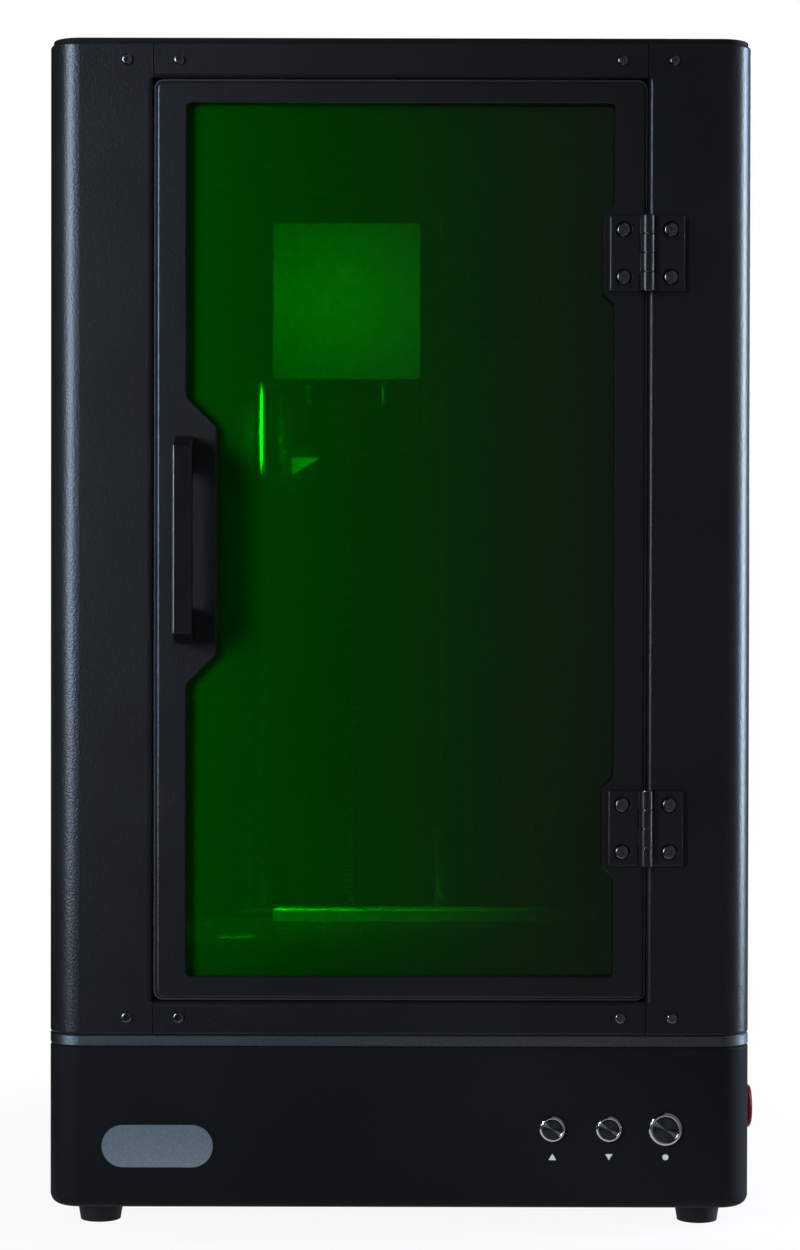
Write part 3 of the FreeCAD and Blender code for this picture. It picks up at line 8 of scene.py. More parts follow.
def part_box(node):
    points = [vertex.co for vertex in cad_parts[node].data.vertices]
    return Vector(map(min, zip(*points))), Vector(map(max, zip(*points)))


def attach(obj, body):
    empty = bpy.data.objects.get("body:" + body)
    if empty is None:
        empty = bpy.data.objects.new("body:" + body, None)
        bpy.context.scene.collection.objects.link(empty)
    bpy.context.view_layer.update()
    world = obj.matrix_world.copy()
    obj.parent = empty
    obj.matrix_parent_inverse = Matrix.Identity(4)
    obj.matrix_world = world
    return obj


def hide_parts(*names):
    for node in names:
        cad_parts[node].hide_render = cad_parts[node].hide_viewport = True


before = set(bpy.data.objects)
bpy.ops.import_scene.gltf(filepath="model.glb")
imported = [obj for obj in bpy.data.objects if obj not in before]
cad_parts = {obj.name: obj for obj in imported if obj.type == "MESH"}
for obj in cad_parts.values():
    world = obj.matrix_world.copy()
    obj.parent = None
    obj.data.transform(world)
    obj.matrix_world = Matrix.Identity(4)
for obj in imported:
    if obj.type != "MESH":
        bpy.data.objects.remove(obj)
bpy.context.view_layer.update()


# Feet: four tapered blocks of moulded black rubber under the corners of the base.
# Each is held up into the floor of the base by a screw in the recess of its underside.
mm = 0.001
rubber_pore = 1.6 * mm
rubber_dark = "#070707"
rubber_worn = "#0f0f10"


def linear(code):
    """An sRGB hex colour as the linear colour that Blender's sockets take."""
    shares = [int(code[i:i + 2], 16) / 255 for i in (1, 3, 5)]
    return [c / 12.92 if c <= 0.04045 else ((c + 0.055) / 1.055) ** 2.4 for c in shares] + [1.0]


def begin(name):
    """A new material with nothing in it yet, and its node tree."""
    material = bpy.data.materials.new(name)
    material.use_nodes = True
    material.node_tree.nodes.clear()
    return material, material.node_tree


def add(tree, kind, settings=None, links=None):
    """Adds one node with its settings and links.

    A setting in small letters is an option of the node, and any other is an input.
    A link is a (node, output) pair.
    """
    node = tree.nodes.new(kind)

    def socket(sockets, name):
        if isinstance(name, int):
            return sockets[name]
        return next(s for s in sockets if s.name == name and s.enabled)

    for name, value in (settings or {}).items():
        if isinstance(name, str) and name.islower():
            setattr(node, name, value)
        else:
            socket(node.inputs, name).default_value = value
    for name, (source, output) in (links or {}).items():
        tree.links.new(socket(source.outputs, output), socket(node.inputs, name))
    return node


def dress(material, *names):
    """Gives these CAD nodes their finish."""
    for name in names:
        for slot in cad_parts[name].material_slots:
            slot.material = material


# Moulded rubber: dull, a little paler where dust sits in its pores, with no clear highlight.
moulded_rubber, tree = begin("moulded_rubber")
place = add(tree, "ShaderNodeTexCoord")
pores = add(tree, "ShaderNodeTexNoise", {"Scale": 1 / rubber_pore, "Detail": 4.0},
            {"Vector": (place, "Object")})
tone = add(tree, "ShaderNodeMix", {"data_type": "RGBA", "A": linear(rubber_dark), "B": linear(rubber_worn)},
           {"Factor": (pores, "Fac")})
dents = add(tree, "ShaderNodeBump", {"Strength": 0.35, "Distance": 0.15 * mm}, {"Height": (pores, "Fac")})
surface = add(tree, "ShaderNodeBsdfPrincipled", {"Roughness": 0.72, "IOR": 1.52, "Specular IOR Level": 0.2},
              {"Base Color": (tone, "Result"), "Normal": (dents, "Normal")})
add(tree, "ShaderNodeOutputMaterial", {}, {"Surface": (surface, "BSDF")})
dress(moulded_rubber, "rubber_feet")


# Base: a deep tray of folded and welded sheet steel with large rounded corners, and a hatch screwed under it.
# Both are powder coated in a smooth matte black.
base_orange_peel = 2.2 * mm
base_cloud = 90 * mm
base_black = "#101111"
base_sheen = "#161717"

# Smooth powder coat: an even near-black with faint orange peel,
# which spreads the highlights of the corners wide and dim.
smooth_powder_coat, tree = begin("smooth_powder_coat")
place = add(tree, "ShaderNodeTexCoord")
cloud = add(tree, "ShaderNodeTexNoise", {"Scale": 1 / base_cloud, "Detail": 3.0},
            {"Vector": (place, "Object")})
peel = add(tree, "ShaderNodeTexNoise", {"Scale": 1 / base_orange_peel, "Detail": 3.0},
           {"Vector": (place, "Object")})
tone = add(tree, "ShaderNodeMix", {"data_type": "RGBA", "A": linear(base_black), "B": linear(base_sheen)},
           {"Factor": (cloud, "Fac")})
gloss = add(tree, "ShaderNodeMapRange", {"To Min": 0.58, "To Max": 0.7}, {"Value": (peel, "Fac")})
skin = add(tree, "ShaderNodeBump", {"Strength": 0.22, "Distance": 0.12 * mm}, {"Height": (peel, "Fac")})
surface = add(tree, "ShaderNodeBsdfPrincipled", {"Specular IOR Level": 0.06},
              {"Base Color": (tone, "Result"), "Roughness": (gloss, "Result"), "Normal": (skin, "Normal")})
add(tree, "ShaderNodeOutputMaterial", {}, {"Surface": (surface, "BSDF")})
dress(smooth_powder_coat, "base_housing", "base_cover")


# Laser source, power supply, lift motor and scanning motors: closed casings of plain aluminium.
# The posts under the platform are turned from the same bar. All are screwed in place and not painted.
rolling_line = 0.8 * mm
rolling_length = 40 * mm
casing_grey = "#9a9ca0"
casing_pale = "#b4b6ba"

# Mill finish aluminium: soft grey metal with fine streaks along the way it was rolled,
# which are drawn about four times as coarse as the usual 0.2 mm so that they show.
mill_aluminium, tree = begin("mill_finish_aluminium")
place = add(tree, "ShaderNodeTexCoord")
stretch = add(tree, "ShaderNodeMapping", {"Scale": (1 / rolling_line, 1 / rolling_length, 1 / rolling_line)},
              {"Vector": (place, "Object")})
streaks = add(tree, "ShaderNodeTexNoise", {"Scale": 1.0, "Detail": 4.0}, {"Vector": (stretch, "Vector")})
tone = add(tree, "ShaderNodeMix", {"data_type": "RGBA", "A": linear(casing_grey), "B": linear(casing_pale)},
           {"Factor": (streaks, "Fac")})
gloss = add(tree, "ShaderNodeMapRange", {"To Min": 0.34, "To Max": 0.5}, {"Value": (streaks, "Fac")})
surface = add(tree, "ShaderNodeBsdfPrincipled", {"Metallic": 1.0},
              {"Base Color": (tone, "Result"), "Roughness": (gloss, "Result")})
add(tree, "ShaderNodeOutputMaterial", {}, {"Surface": (surface, "BSDF")})
dress(mill_aluminium, "laser_source", "power_supply", "z_motor", "galvo_motors", "platform_standoffs")


# Control board: glass fibre board with a green solder mask and black moulded parts on top.
# It stands on short posts on the floor of the base.
track_pitch = 2.5 * mm
track_share = 0.06
board_parts = 5.9 * mm
board_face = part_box("control_board")[1].z - board_parts
board_green = "#0d4a26"
board_track = "#1d6b3a"
board_epoxy = "#17181a"

# Solder mask: glossy green with paler copper tracks under it, and matt black parts above the board's face.
solder_mask, tree = begin("solder_mask_board")
place = add(tree, "ShaderNodeTexCoord")
grid = add(tree, "ShaderNodeTexBrick",
           {"Scale": 1 / track_pitch, "Mortar Size": track_share, "Mortar": linear(board_track),
            "Color1": linear(board_green), "Color2": linear(board_green)}, {"Vector": (place, "Object")})
split = add(tree, "ShaderNodeSeparateXYZ", {}, {"Vector": (place, "Object")})
above = add(tree, "ShaderNodeMath", {"operation": "GREATER_THAN", 1: board_face}, {0: (split, "Z")})
tone = add(tree, "ShaderNodeMix", {"data_type": "RGBA", "B": linear(board_epoxy)},
           {"Factor": (above, "Value"), "A": (grid, "Color")})
surface = add(tree, "ShaderNodeBsdfPrincipled", {"Roughness": 0.38}, {"Base Color": (tone, "Result")})
add(tree, "ShaderNodeOutputMaterial", {}, {"Surface": (surface, "BSDF")})
dress(solder_mask, "control_board")


# Mains inlet, data port and power switch at the back, and the other black mouldings: the body and stem of the
# emergency stop, the magnet latch, the fan and its duct collar. They snap or screw into their cut-outs.
spark_grain = 0.9 * mm
nylon_black = "#131415"
nylon_grey = "#1e2022"

# Moulded nylon: black with the spark-eroded grain of its mould and a weak satin shine.
# Such a grain is usually about 0.3 mm, and it is drawn three times as coarse so that it shows.
moulded_nylon, tree = begin("moulded_nylon")
place = add(tree, "ShaderNodeTexCoord")
spark = add(tree, "ShaderNodeTexVoronoi", {"Scale": 1 / spark_grain}, {"Vector": (place, "Object")})
tone = add(tree, "ShaderNodeMix", {"data_type": "RGBA", "A": linear(nylon_black), "B": linear(nylon_grey)},
           {"Factor": (spark, "Distance")})
pits = add(tree, "ShaderNodeBump", {"Strength": 0.25, "Distance": 0.1 * mm}, {"Height": (spark, "Distance")})
surface = add(tree, "ShaderNodeBsdfPrincipled", {"Roughness": 0.48, "IOR": 1.53, "Specular IOR Level": 0.4},
              {"Base Color": (tone, "Result"), "Normal": (pits, "Normal")})
add(tree, "ShaderNodeOutputMaterial", {}, {"Surface": (surface, "BSDF")})
dress(moulded_nylon, "rear_sockets", "power_rocker", "estop_body", "estop_stem", "door_latch",
      "exhaust_collar", "fan_frame", "fan_rotor")


# Jog and start buttons: turned stainless steel bodies with a bevelled bezel, held by a nut behind the panel.
# The cap in each one slides in against a spring.
bezel_wipe = 4 * mm
cap_wipe = 0.5 * mm
stainless_tone = "#c6c7c9"
stainless_cap = "#444547"
bezel_rounding = 1.2 * mm

# Polished stainless: a near mirror whose edges the polishing wheel has rounded, so the bezels show
# the pale floor below and the dark room in front.
polished_stainless, tree = begin("polished_stainless")
place = add(tree, "ShaderNodeTexCoord")
wipes = add(tree, "ShaderNodeTexNoise", {"Scale": 1 / bezel_wipe, "Detail": 4.0},
            {"Vector": (place, "Object")})
gloss = add(tree, "ShaderNodeMapRange", {"To Min": 0.08, "To Max": 0.17}, {"Value": (wipes, "Fac")})
rounded = add(tree, "ShaderNodeBevel", {"samples": 8, "Radius": bezel_rounding})
surface = add(tree, "ShaderNodeBsdfPrincipled", {"Base Color": linear(stainless_tone), "Metallic": 1.0},
              {"Roughness": (gloss, "Result"), "Normal": (rounded, "Normal")})
add(tree, "ShaderNodeOutputMaterial", {}, {"Surface": (surface, "BSDF")})
dress(polished_stainless, "jog_button_bodies", "start_button_body")

# Turned stainless: rings from the lathe, too fine to draw one by one, stretch each lamp
# into a bright line across the cap.
turned_stainless, tree = begin("turned_stainless")
place = add(tree, "ShaderNodeTexCoord")
rings_about = add(tree, "ShaderNodeTangent", {"direction_type": "RADIAL", "axis": "Y"})
wipes = add(tree, "ShaderNodeTexNoise", {"Scale": 1 / cap_wipe, "Detail": 2.0}, {"Vector": (place, "Object")})
gloss = add(tree, "ShaderNodeMapRange", {"To Min": 0.36, "To Max": 0.42}, {"Value": (wipes, "Fac")})
surface = add(tree, "ShaderNodeBsdfPrincipled",
              {"Base Color": linear(stainless_cap), "Metallic": 1.0, "Anisotropic": 1.0,
               "Anisotropic Rotation": 0.25},
              {"Roughness": (gloss, "Result"), "Tangent": (rings_about, "Tangent")})
add(tree, "ShaderNodeOutputMaterial", {}, {"Surface": (surface, "BSDF")})
dress(turned_stainless, "up_button_cap", "down_button_cap", "start_button_cap")


# Button marks: an upward and a downward triangle and a dot, printed in white on the base under the buttons.
# The ink stands a few hundredths of a millimetre proud of the coat.
mark_level = 38.5 * mm
mark_width = 3.9 * mm
mark_height = 3.3 * mm
dot_diameter = 3.2 * mm
ink_depth = 0.05 * mm
ink_corner = 0.3 * mm
ink_thin = "#c3c7ca"
ink_white = "#d9dcde"
ink_grain = 0.4 * mm

# Pad-printed ink: flat white, a little uneven where it was pressed on.
printed_ink, tree = begin("pad_printed_ink")
place = add(tree, "ShaderNodeTexCoord")
patches = add(tree, "ShaderNodeTexNoise", {"Scale": 1 / ink_grain, "Detail": 2.0},
              {"Vector": (place, "Object")})
tone = add(tree, "ShaderNodeMix", {"data_type": "RGBA", "A": linear(ink_thin), "B": linear(ink_white)},
           {"Factor": (patches, "Fac")})
surface = add(tree, "ShaderNodeBsdfPrincipled", {"Roughness": 0.6}, {"Base Color": (tone, "Result")})
add(tree, "ShaderNodeOutputMaterial", {}, {"Surface": (surface, "BSDF")})


def prism(near, far):
    """A closed shape between two outlines whose points match."""
    shape = bmesh.new()
    first = [shape.verts.new(point) for point in near]
    last = [shape.verts.new(point) for point in far]
    shape.faces.new(first)
    shape.faces.new(last)
    for i in range(len(first)):
        shape.faces.new((first[i - 1], first[i], last[i], last[i - 1]))
    bmesh.ops.recalc_face_normals(shape, faces=shape.faces)
    return shape


def make_piece(name, shape, material):
    """Puts a finished shape into the scene as a named piece of one material."""
    mesh = bpy.data.meshes.new(name)
    shape.to_mesh(mesh)
    shape.free()
    mesh.materials.append(material)
    piece = bpy.data.objects.new(name, mesh)
    bpy.context.scene.collection.objects.link(piece)
    return piece


def print_mark(name, cap, outline):
    """A thin printed shape below a button, from its outline seen from the front."""
    low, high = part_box(cap)
    across = (low.x + high.x) / 2
    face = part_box("base_housing")[0].y
    front = [(across + x, face - ink_depth, mark_level + z) for x, z in outline]
    back = [(across + x, face, mark_level + z) for x, z in outline]
    mark = make_piece(name, prism(front, back), printed_ink)
    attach(mark, "cabinet")


half_width = mark_width / 2
half_height = mark_height / 2
upward = [(-half_width, -half_height + ink_corner / 2), (-half_width + ink_corner, -half_height),
          (half_width - ink_corner, -half_height), (half_width, -half_height + ink_corner / 2),
          (ink_corner / 2, half_height - ink_corner / 2), (0.0, half_height),
          (-ink_corner / 2, half_height - ink_corner / 2)]
print_mark("up_mark", "up_button_cap", upward)
print_mark("down_mark", "down_button_cap", [(x, -z) for x, z in upward[::-1]])
dot_points = 32
turns = [2 * math.pi * i / dot_points for i in range(dot_points)]
print_mark("start_mark", "start_button_cap",
           [(dot_diameter / 2 * math.cos(t), dot_diameter / 2 * math.sin(t)) for t in turns])


# Emergency stop: a wide mushroom head of red plastic on the right side of the base, pushed in to stop
# and twisted to let go. Its black body is clamped through the wall.
head_scuff = 5 * mm
stop_red = "#500a0e"
stop_bright = "#680f13"

# Gloss red moulding: a deep even red under a clear shine, duller where hands have rubbed it.
gloss_red, tree = begin("gloss_red_moulding")
place = add(tree, "ShaderNodeTexCoord")
rubs = add(tree, "ShaderNodeTexNoise", {"Scale": 1 / head_scuff, "Detail": 4.0},
           {"Vector": (place, "Object")})
tone = add(tree, "ShaderNodeMix", {"data_type": "RGBA", "A": linear(stop_red), "B": linear(stop_bright)},
           {"Factor": (rubs, "Fac")})
gloss = add(tree, "ShaderNodeMapRange", {"To Min": 0.2, "To Max": 0.32}, {"Value": (rubs, "Fac")})
surface = add(tree, "ShaderNodeBsdfPrincipled", {"IOR": 1.53, "Specular IOR Level": 0.03},
              {"Base Color": (tone, "Result"), "Roughness": (gloss, "Result")})
add(tree, "ShaderNodeOutputMaterial", {}, {"Surface": (surface, "BSDF")})
dress(gloss_red, "estop_head")


# Deck plate: a rounded slab of aluminium between base and cabinet, blasted and clear anodised.
# The cabinet stands on it, and it is screwed down to the base.
bead_dimple = 0.9 * mm
deck_grey = "#494d50"
deck_spark = "#71767a"

# Bead-blasted aluminium: soft grey metal that sparkles in fine grains. Such dimples are usually about
# 0.3 mm, and they are drawn three times as coarse so that the sparkle shows.
blasted_aluminium, tree = begin("bead_blasted_aluminium")
place = add(tree, "ShaderNodeTexCoord")
beads = add(tree, "ShaderNodeTexNoise", {"Scale": 1 / bead_dimple, "Detail": 3.0, "Roughness": 0.7},
            {"Vector": (place, "Object")})
spread = add(tree, "ShaderNodeMapRange", {"From Min": 0.35, "From Max": 0.7}, {"Value": (beads, "Fac")})
tone = add(tree, "ShaderNodeMix", {"data_type": "RGBA", "A": linear(deck_grey), "B": linear(deck_spark)},
           {"Factor": (spread, "Result")})
gloss = add(tree, "ShaderNodeMapRange", {"To Min": 0.5, "To Max": 0.36}, {"Value": (spread, "Result")})
dimples = add(tree, "ShaderNodeBump", {"Strength": 0.5, "Distance": 0.12 * mm}, {"Height": (beads, "Fac")})
surface = add(tree, "ShaderNodeBsdfPrincipled", {"Metallic": 1.0},
              {"Base Color": (tone, "Result"), "Roughness": (gloss, "Result"), "Normal": (dimples, "Normal")})
add(tree, "ShaderNodeOutputMaterial", {}, {"Surface": (surface, "BSDF")})
dress(blasted_aluminium, "deck_plate")


# Name plate: a small pill of thin aluminium, left bare and stuck to the front of the base.
# It is blasted finer than the deck and tinted a cool grey.
plate_grain = 0.8 * mm
plate_grey = "#56626a"
plate_pale = "#b0bdc5"

# Satin anodised aluminium: cool grey with an even sparkle, and a bright line where its edge is rounded.
# Such a grain is usually about 0.2 mm, and it is drawn four times as coarse so that it shows.
satin_anodised, tree = begin("satin_anodised_aluminium")
place = add(tree, "ShaderNodeTexCoord")
grit = add(tree, "ShaderNodeTexNoise", {"Scale": 1 / plate_grain, "Detail": 3.0, "Roughness": 0.7},
           {"Vector": (place, "Object")})
tone = add(tree, "ShaderNodeMix", {"data_type": "RGBA", "A": linear(plate_grey), "B": linear(plate_pale)},
           {"Factor": (grit, "Fac")})
gloss = add(tree, "ShaderNodeMapRange", {"To Min": 0.48, "To Max": 0.36}, {"Value": (grit, "Fac")})
sparkle = add(tree, "ShaderNodeBump", {"Strength": 0.5, "Distance": 0.12 * mm}, {"Height": (grit, "Fac")})
surface = add(tree, "ShaderNodeBsdfPrincipled", {"Metallic": 1.0},
              {"Base Color": (tone, "Result"), "Roughness": (gloss, "Result"), "Normal": (sparkle, "Normal")})
add(tree, "ShaderNodeOutputMaterial", {}, {"Surface": (surface, "BSDF")})
dress(satin_anodised, "name_plate")


# Cabinet: side shells folded round the front corners, rails, rear panel, and the frame rings and door jamb
# inside that join them, all 2 mm sheet steel, screwed together. The door's frame and the pane's retainer wear
# the same textured coat, and the lid plate has the smoother coat of the base.
coat_grain = 1.3 * mm
coat_cloud = 70 * mm
grain_share = 0.6
coat_black = "#131313"
coat_pale = "#191a1a"

# Fine-textured powder coat: charcoal black with a sandy grain that breaks each highlight into sparks.
# Such a grain is usually about 0.5 mm, and it is drawn two to three times as coarse so that it shows.
textured_powder_coat, tree = begin("textured_powder_coat")
place = add(tree, "ShaderNodeTexCoord")
cloud = add(tree, "ShaderNodeTexNoise", {"Scale": 1 / coat_cloud, "Detail": 2.0},
            {"Vector": (place, "Object")})
grain = add(tree, "ShaderNodeTexNoise", {"Scale": 1 / coat_grain, "Detail": 2.0, "Roughness": 0.6},
            {"Vector": (place, "Object")})
both = add(tree, "ShaderNodeMath", {"operation": "MULTIPLY_ADD", 1: grain_share},
           {0: (grain, "Fac"), 2: (cloud, "Fac")})
spread = add(tree, "ShaderNodeMapRange", {"From Min": 0.5, "From Max": 1.1}, {"Value": (both, "Value")})
tone = add(tree, "ShaderNodeMix", {"data_type": "RGBA", "A": linear(coat_black), "B": linear(coat_pale)},
           {"Factor": (spread, "Result")})
gloss = add(tree, "ShaderNodeMapRange", {"To Min": 0.4, "To Max": 0.24}, {"Value": (grain, "Fac")})
sand = add(tree, "ShaderNodeBump", {"Strength": 0.7, "Distance": 0.24 * mm}, {"Height": (grain, "Fac")})
surface = add(tree, "ShaderNodeBsdfPrincipled", {"Specular IOR Level": 0.28},
              {"Base Color": (tone, "Result"), "Roughness": (gloss, "Result"), "Normal": (sand, "Normal")})
add(tree, "ShaderNodeOutputMaterial", {}, {"Surface": (surface, "BSDF")})
dress(textured_powder_coat, "left_side_shell", "right_side_shell", "front_top_rail", "front_bottom_rail",
      "rear_panel", "frame_rings", "door_jamb", "door_frame", "window_retainer")
dress(smooth_powder_coat, "top_cover")


# Fasteners: button head socket screws of blackened steel along the seams, lid, hatch and hinges.
# They are driven flush into their panels or sit in counterbores.
oxide_patch = 1.2 * mm
oxide_black = "#6c6d70"
oxide_rub = "#a4a5a8"

# Black oxide steel: dark with a thin oily shine, and bare metal showing where the key has rubbed.
black_oxide, tree = begin("black_oxide_steel")
place = add(tree, "ShaderNodeTexCoord")
rubs = add(tree, "ShaderNodeTexNoise", {"Scale": 1 / oxide_patch, "Detail": 3.0},
           {"Vector": (place, "Object")})
worn = add(tree, "ShaderNodeMapRange", {"From Min": 0.5, "From Max": 0.8}, {"Value": (rubs, "Fac")})
tone = add(tree, "ShaderNodeMix", {"data_type": "RGBA", "A": linear(oxide_black), "B": linear(oxide_rub)},
           {"Factor": (worn, "Result")})
surface = add(tree, "ShaderNodeBsdfPrincipled", {"Metallic": 1.0, "Roughness": 0.24},
              {"Base Color": (tone, "Result")})
add(tree, "ShaderNodeOutputMaterial", {}, {"Surface": (surface, "BSDF")})
dress(black_oxide, "cabinet_fasteners", "door_screws")


# Door seal: a strip of foam rubber stuck to the jamb all round the opening.
# The door presses on it to keep light and fumes in.
foam_cell = 0.9 * mm
foam_dark = "#141516"
foam_pale = "#2a2b2d"

# Foam rubber: dead matte, speckled by the open cells of its cut face.
foam_rubber, tree = begin("foam_rubber")
place = add(tree, "ShaderNodeTexCoord")
cells = add(tree, "ShaderNodeTexVoronoi", {"Scale": 1 / foam_cell}, {"Vector": (place, "Object")})
tone = add(tree, "ShaderNodeMix", {"data_type": "RGBA", "A": linear(foam_dark), "B": linear(foam_pale)},
           {"Factor": (cells, "Distance")})
holes = add(tree, "ShaderNodeBump", {"Strength": 0.6, "Distance": 0.3 * mm}, {"Height": (cells, "Distance")})
surface = add(tree, "ShaderNodeBsdfPrincipled", {"Roughness": 0.9, "Specular IOR Level": 0.2},
              {"Base Color": (tone, "Result"), "Normal": (holes, "Normal")})
add(tree, "ShaderNodeOutputMaterial", {}, {"Surface": (surface, "BSDF")})
dress(foam_rubber, "door_seal")


# Filter pads: pleated fleece over the fan inside the cabinet and behind the air slots of the rear panel.
# Each pad is glued up in a zigzag and pressed against what it covers, so that fumes and light stay in.
pleat_pitch = 5 * mm
pleat_depth = 4 * mm
pleat_valley = 0.25
vent_cover = 4 * mm
fleece_fibre = 0.7 * mm
fleece_dark = "#17181a"
fleece_pale = "#2b2d30"

# Filter fleece: dull dark grey felt with a soft fibrous mottle and no shine.
filter_fleece, tree = begin("filter_fleece")
place = add(tree, "ShaderNodeTexCoord")
fibres = add(tree, "ShaderNodeTexNoise", {"Scale": 1 / fleece_fibre, "Detail": 5.0, "Roughness": 0.7},
             {"Vector": (place, "Object")})
tone = add(tree, "ShaderNodeMix", {"data_type": "RGBA", "A": linear(fleece_dark), "B": linear(fleece_pale)},
           {"Factor": (fibres, "Fac")})
fuzz = add(tree, "ShaderNodeBump", {"Strength": 0.6, "Distance": 0.2 * mm}, {"Height": (fibres, "Fac")})
surface = add(tree, "ShaderNodeBsdfPrincipled", {"Roughness": 0.95, "Specular IOR Level": 0.1},
              {"Base Color": (tone, "Result"), "Normal": (fuzz, "Normal")})
add(tree, "ShaderNodeOutputMaterial", {}, {"Surface": (surface, "BSDF")})


def pleat_pad(name, left, right, bottom, top, back):
    """A pad whose front zigzags from side to side, with its flat back at the given depth."""
    folds = 2 * round((right - left) / pleat_pitch)
    outline = [(left + (right - left) * i / folds, back - pleat_depth * (pleat_valley if i % 2 else 1.0))
               for i in range(folds + 1)] + [(right, back), (left, back)]
    lower = [(x, y, bottom) for x, y in outline]
    upper = [(x, y, top) for x, y in outline]
    pad = make_piece(name, prism(lower, upper), filter_fleece)
    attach(pad, "cabinet")


fan_low, fan_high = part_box("fan_frame")
fan_middle = (fan_low.x + fan_high.x) / 2
slots_reach = 30 * mm
slots_bottom = 141 * mm
slots_top = 208 * mm
pleat_pad("fan_filter", fan_low.x, fan_high.x, fan_low.z, fan_high.z, fan_low.y)
pleat_pad("inlet_filter", fan_middle - slots_reach - vent_cover, fan_middle + slots_reach + vent_cover,
          slots_bottom - vent_cover, slots_top + vent_cover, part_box("rear_panel")[0].y)


# Work platform, lift column, shaft supports, carriage, laser head and lens barrel: milled aluminium,
# black anodised. The platform has a grid of threaded holes to clamp work on.
mill_line = 1.1 * mm
mill_length = 30 * mm
anodised_black = "#121314"
anodised_grey = "#1c1e20"

# Black anodised aluminium: dark grey with a silky sheen, and faint lines from the milling cutter.
black_anodised, tree = begin("black_anodised_aluminium")
place = add(tree, "ShaderNodeTexCoord")
stretch = add(tree, "ShaderNodeMapping", {"Scale": (1 / mill_length, 1 / mill_line, 1 / mill_line)},
              {"Vector": (place, "Object")})
cutter = add(tree, "ShaderNodeTexNoise", {"Scale": 1.0, "Detail": 3.0}, {"Vector": (stretch, "Vector")})
tone = add(tree, "ShaderNodeMix",
           {"data_type": "RGBA", "A": linear(anodised_black), "B": linear(anodised_grey)},
           {"Factor": (cutter, "Fac")})
gloss = add(tree, "ShaderNodeMapRange", {"To Min": 0.42, "To Max": 0.54}, {"Value": (cutter, "Fac")})
lines = add(tree, "ShaderNodeBump", {"Strength": 0.12, "Distance": 0.05 * mm}, {"Height": (cutter, "Fac")})
surface = add(tree, "ShaderNodeBsdfPrincipled", {"Specular IOR Level": 0.15},
              {"Base Color": (tone, "Result"), "Roughness": (gloss, "Result"), "Normal": (lines, "Normal")})
add(tree, "ShaderNodeOutputMaterial", {}, {"Surface": (surface, "BSDF")})
dress(black_anodised, "work_platform", "column_plate", "shaft_supports", "carriage_block",
      "laser_head_body", "lens_barrel")


# Fence and short stop on the platform: clear anodised aluminium bars with rounded edges, screwed down through
# the holes of the grid, so that work can be pushed up against them.
bar_line = 0.9 * mm
bar_grey = "#b4b7ba"
bar_pale = "#cfd2d5"

# Clear anodised bar: pale satin metal, bright along its rounded edge. The fine lines of the die run
# along the bar, and they are drawn coarser than they are so that they show.
clear_anodised, tree = begin("clear_anodised_bar")
place = add(tree, "ShaderNodeTexCoord")
stretch = add(tree, "ShaderNodeMapping", {"Scale": (1 / mill_length, 1 / bar_line, 1 / bar_line)},
              {"Vector": (place, "Object")})
drawn = add(tree, "ShaderNodeTexNoise", {"Scale": 1.0, "Detail": 3.0}, {"Vector": (stretch, "Vector")})
tone = add(tree, "ShaderNodeMix", {"data_type": "RGBA", "A": linear(bar_grey), "B": linear(bar_pale)},
           {"Factor": (drawn, "Fac")})
gloss = add(tree, "ShaderNodeMapRange", {"To Min": 0.4, "To Max": 0.5}, {"Value": (drawn, "Fac")})
surface = add(tree, "ShaderNodeBsdfPrincipled", {"Metallic": 0.85},
              {"Base Color": (tone, "Result"), "Roughness": (gloss, "Result")})
add(tree, "ShaderNodeOutputMaterial", {}, {"Surface": (surface, "BSDF")})
dress(clear_anodised, "work_stops")


# Guide shafts, hinge pins and the latch's strike: hardened steel, ground and polished.
# The shafts are clamped at both ends by the supports.
grinding_line = 0.6 * mm
steel_bright = "#c2c4c6"
steel_shade = "#a9abae"

# Ground steel: bright metal with fine lines round it, so lamps show as one long glint.
# The lines are drawn at 0.6 mm, coarser than any grinding leaves, so that they show.
ground_steel, tree = begin("ground_steel")
place = add(tree, "ShaderNodeTexCoord")
stretch = add(tree, "ShaderNodeMapping", {"Scale": (1 / mill_length, 1 / mill_length, 1 / grinding_line)},
              {"Vector": (place, "Object")})
rings = add(tree, "ShaderNodeTexNoise", {"Scale": 1.0, "Detail": 3.0}, {"Vector": (stretch, "Vector")})
tone = add(tree, "ShaderNodeMix", {"data_type": "RGBA", "A": linear(steel_shade), "B": linear(steel_bright)},
           {"Factor": (rings, "Fac")})
gloss = add(tree, "ShaderNodeMapRange", {"To Min": 0.21, "To Max": 0.27}, {"Value": (rings, "Fac")})
surface = add(tree, "ShaderNodeBsdfPrincipled", {"Metallic": 1.0},
              {"Base Color": (tone, "Result"), "Roughness": (gloss, "Result")})
add(tree, "ShaderNodeOutputMaterial", {}, {"Surface": (surface, "BSDF")})
dress(ground_steel, "guide_shafts", "hinge_pins", "latch_strike")


# Lead screw: a rolled steel bar with a four-start trapezoidal thread of 8 mm lead, driven by the lift motor.
# The thread is cut as a real helix, and the bar ends plain where it enters the motor and the upper support.
thread_low, thread_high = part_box("lead_screw")
thread_centre = (thread_low + thread_high) / 2
thread_radius = (thread_high.x - thread_low.x) / 2
thread_depth = 0.9 * mm
thread_lead = 8 * mm
thread_starts = 4
thread_plain_end = 14 * mm
flank_steepness = 1.1
ring_points = 40
ring_step = 0.5 * mm
oil_film = 9 * mm
oiled_dark = "#2f3032"
oiled_pale = "#4a4b4e"

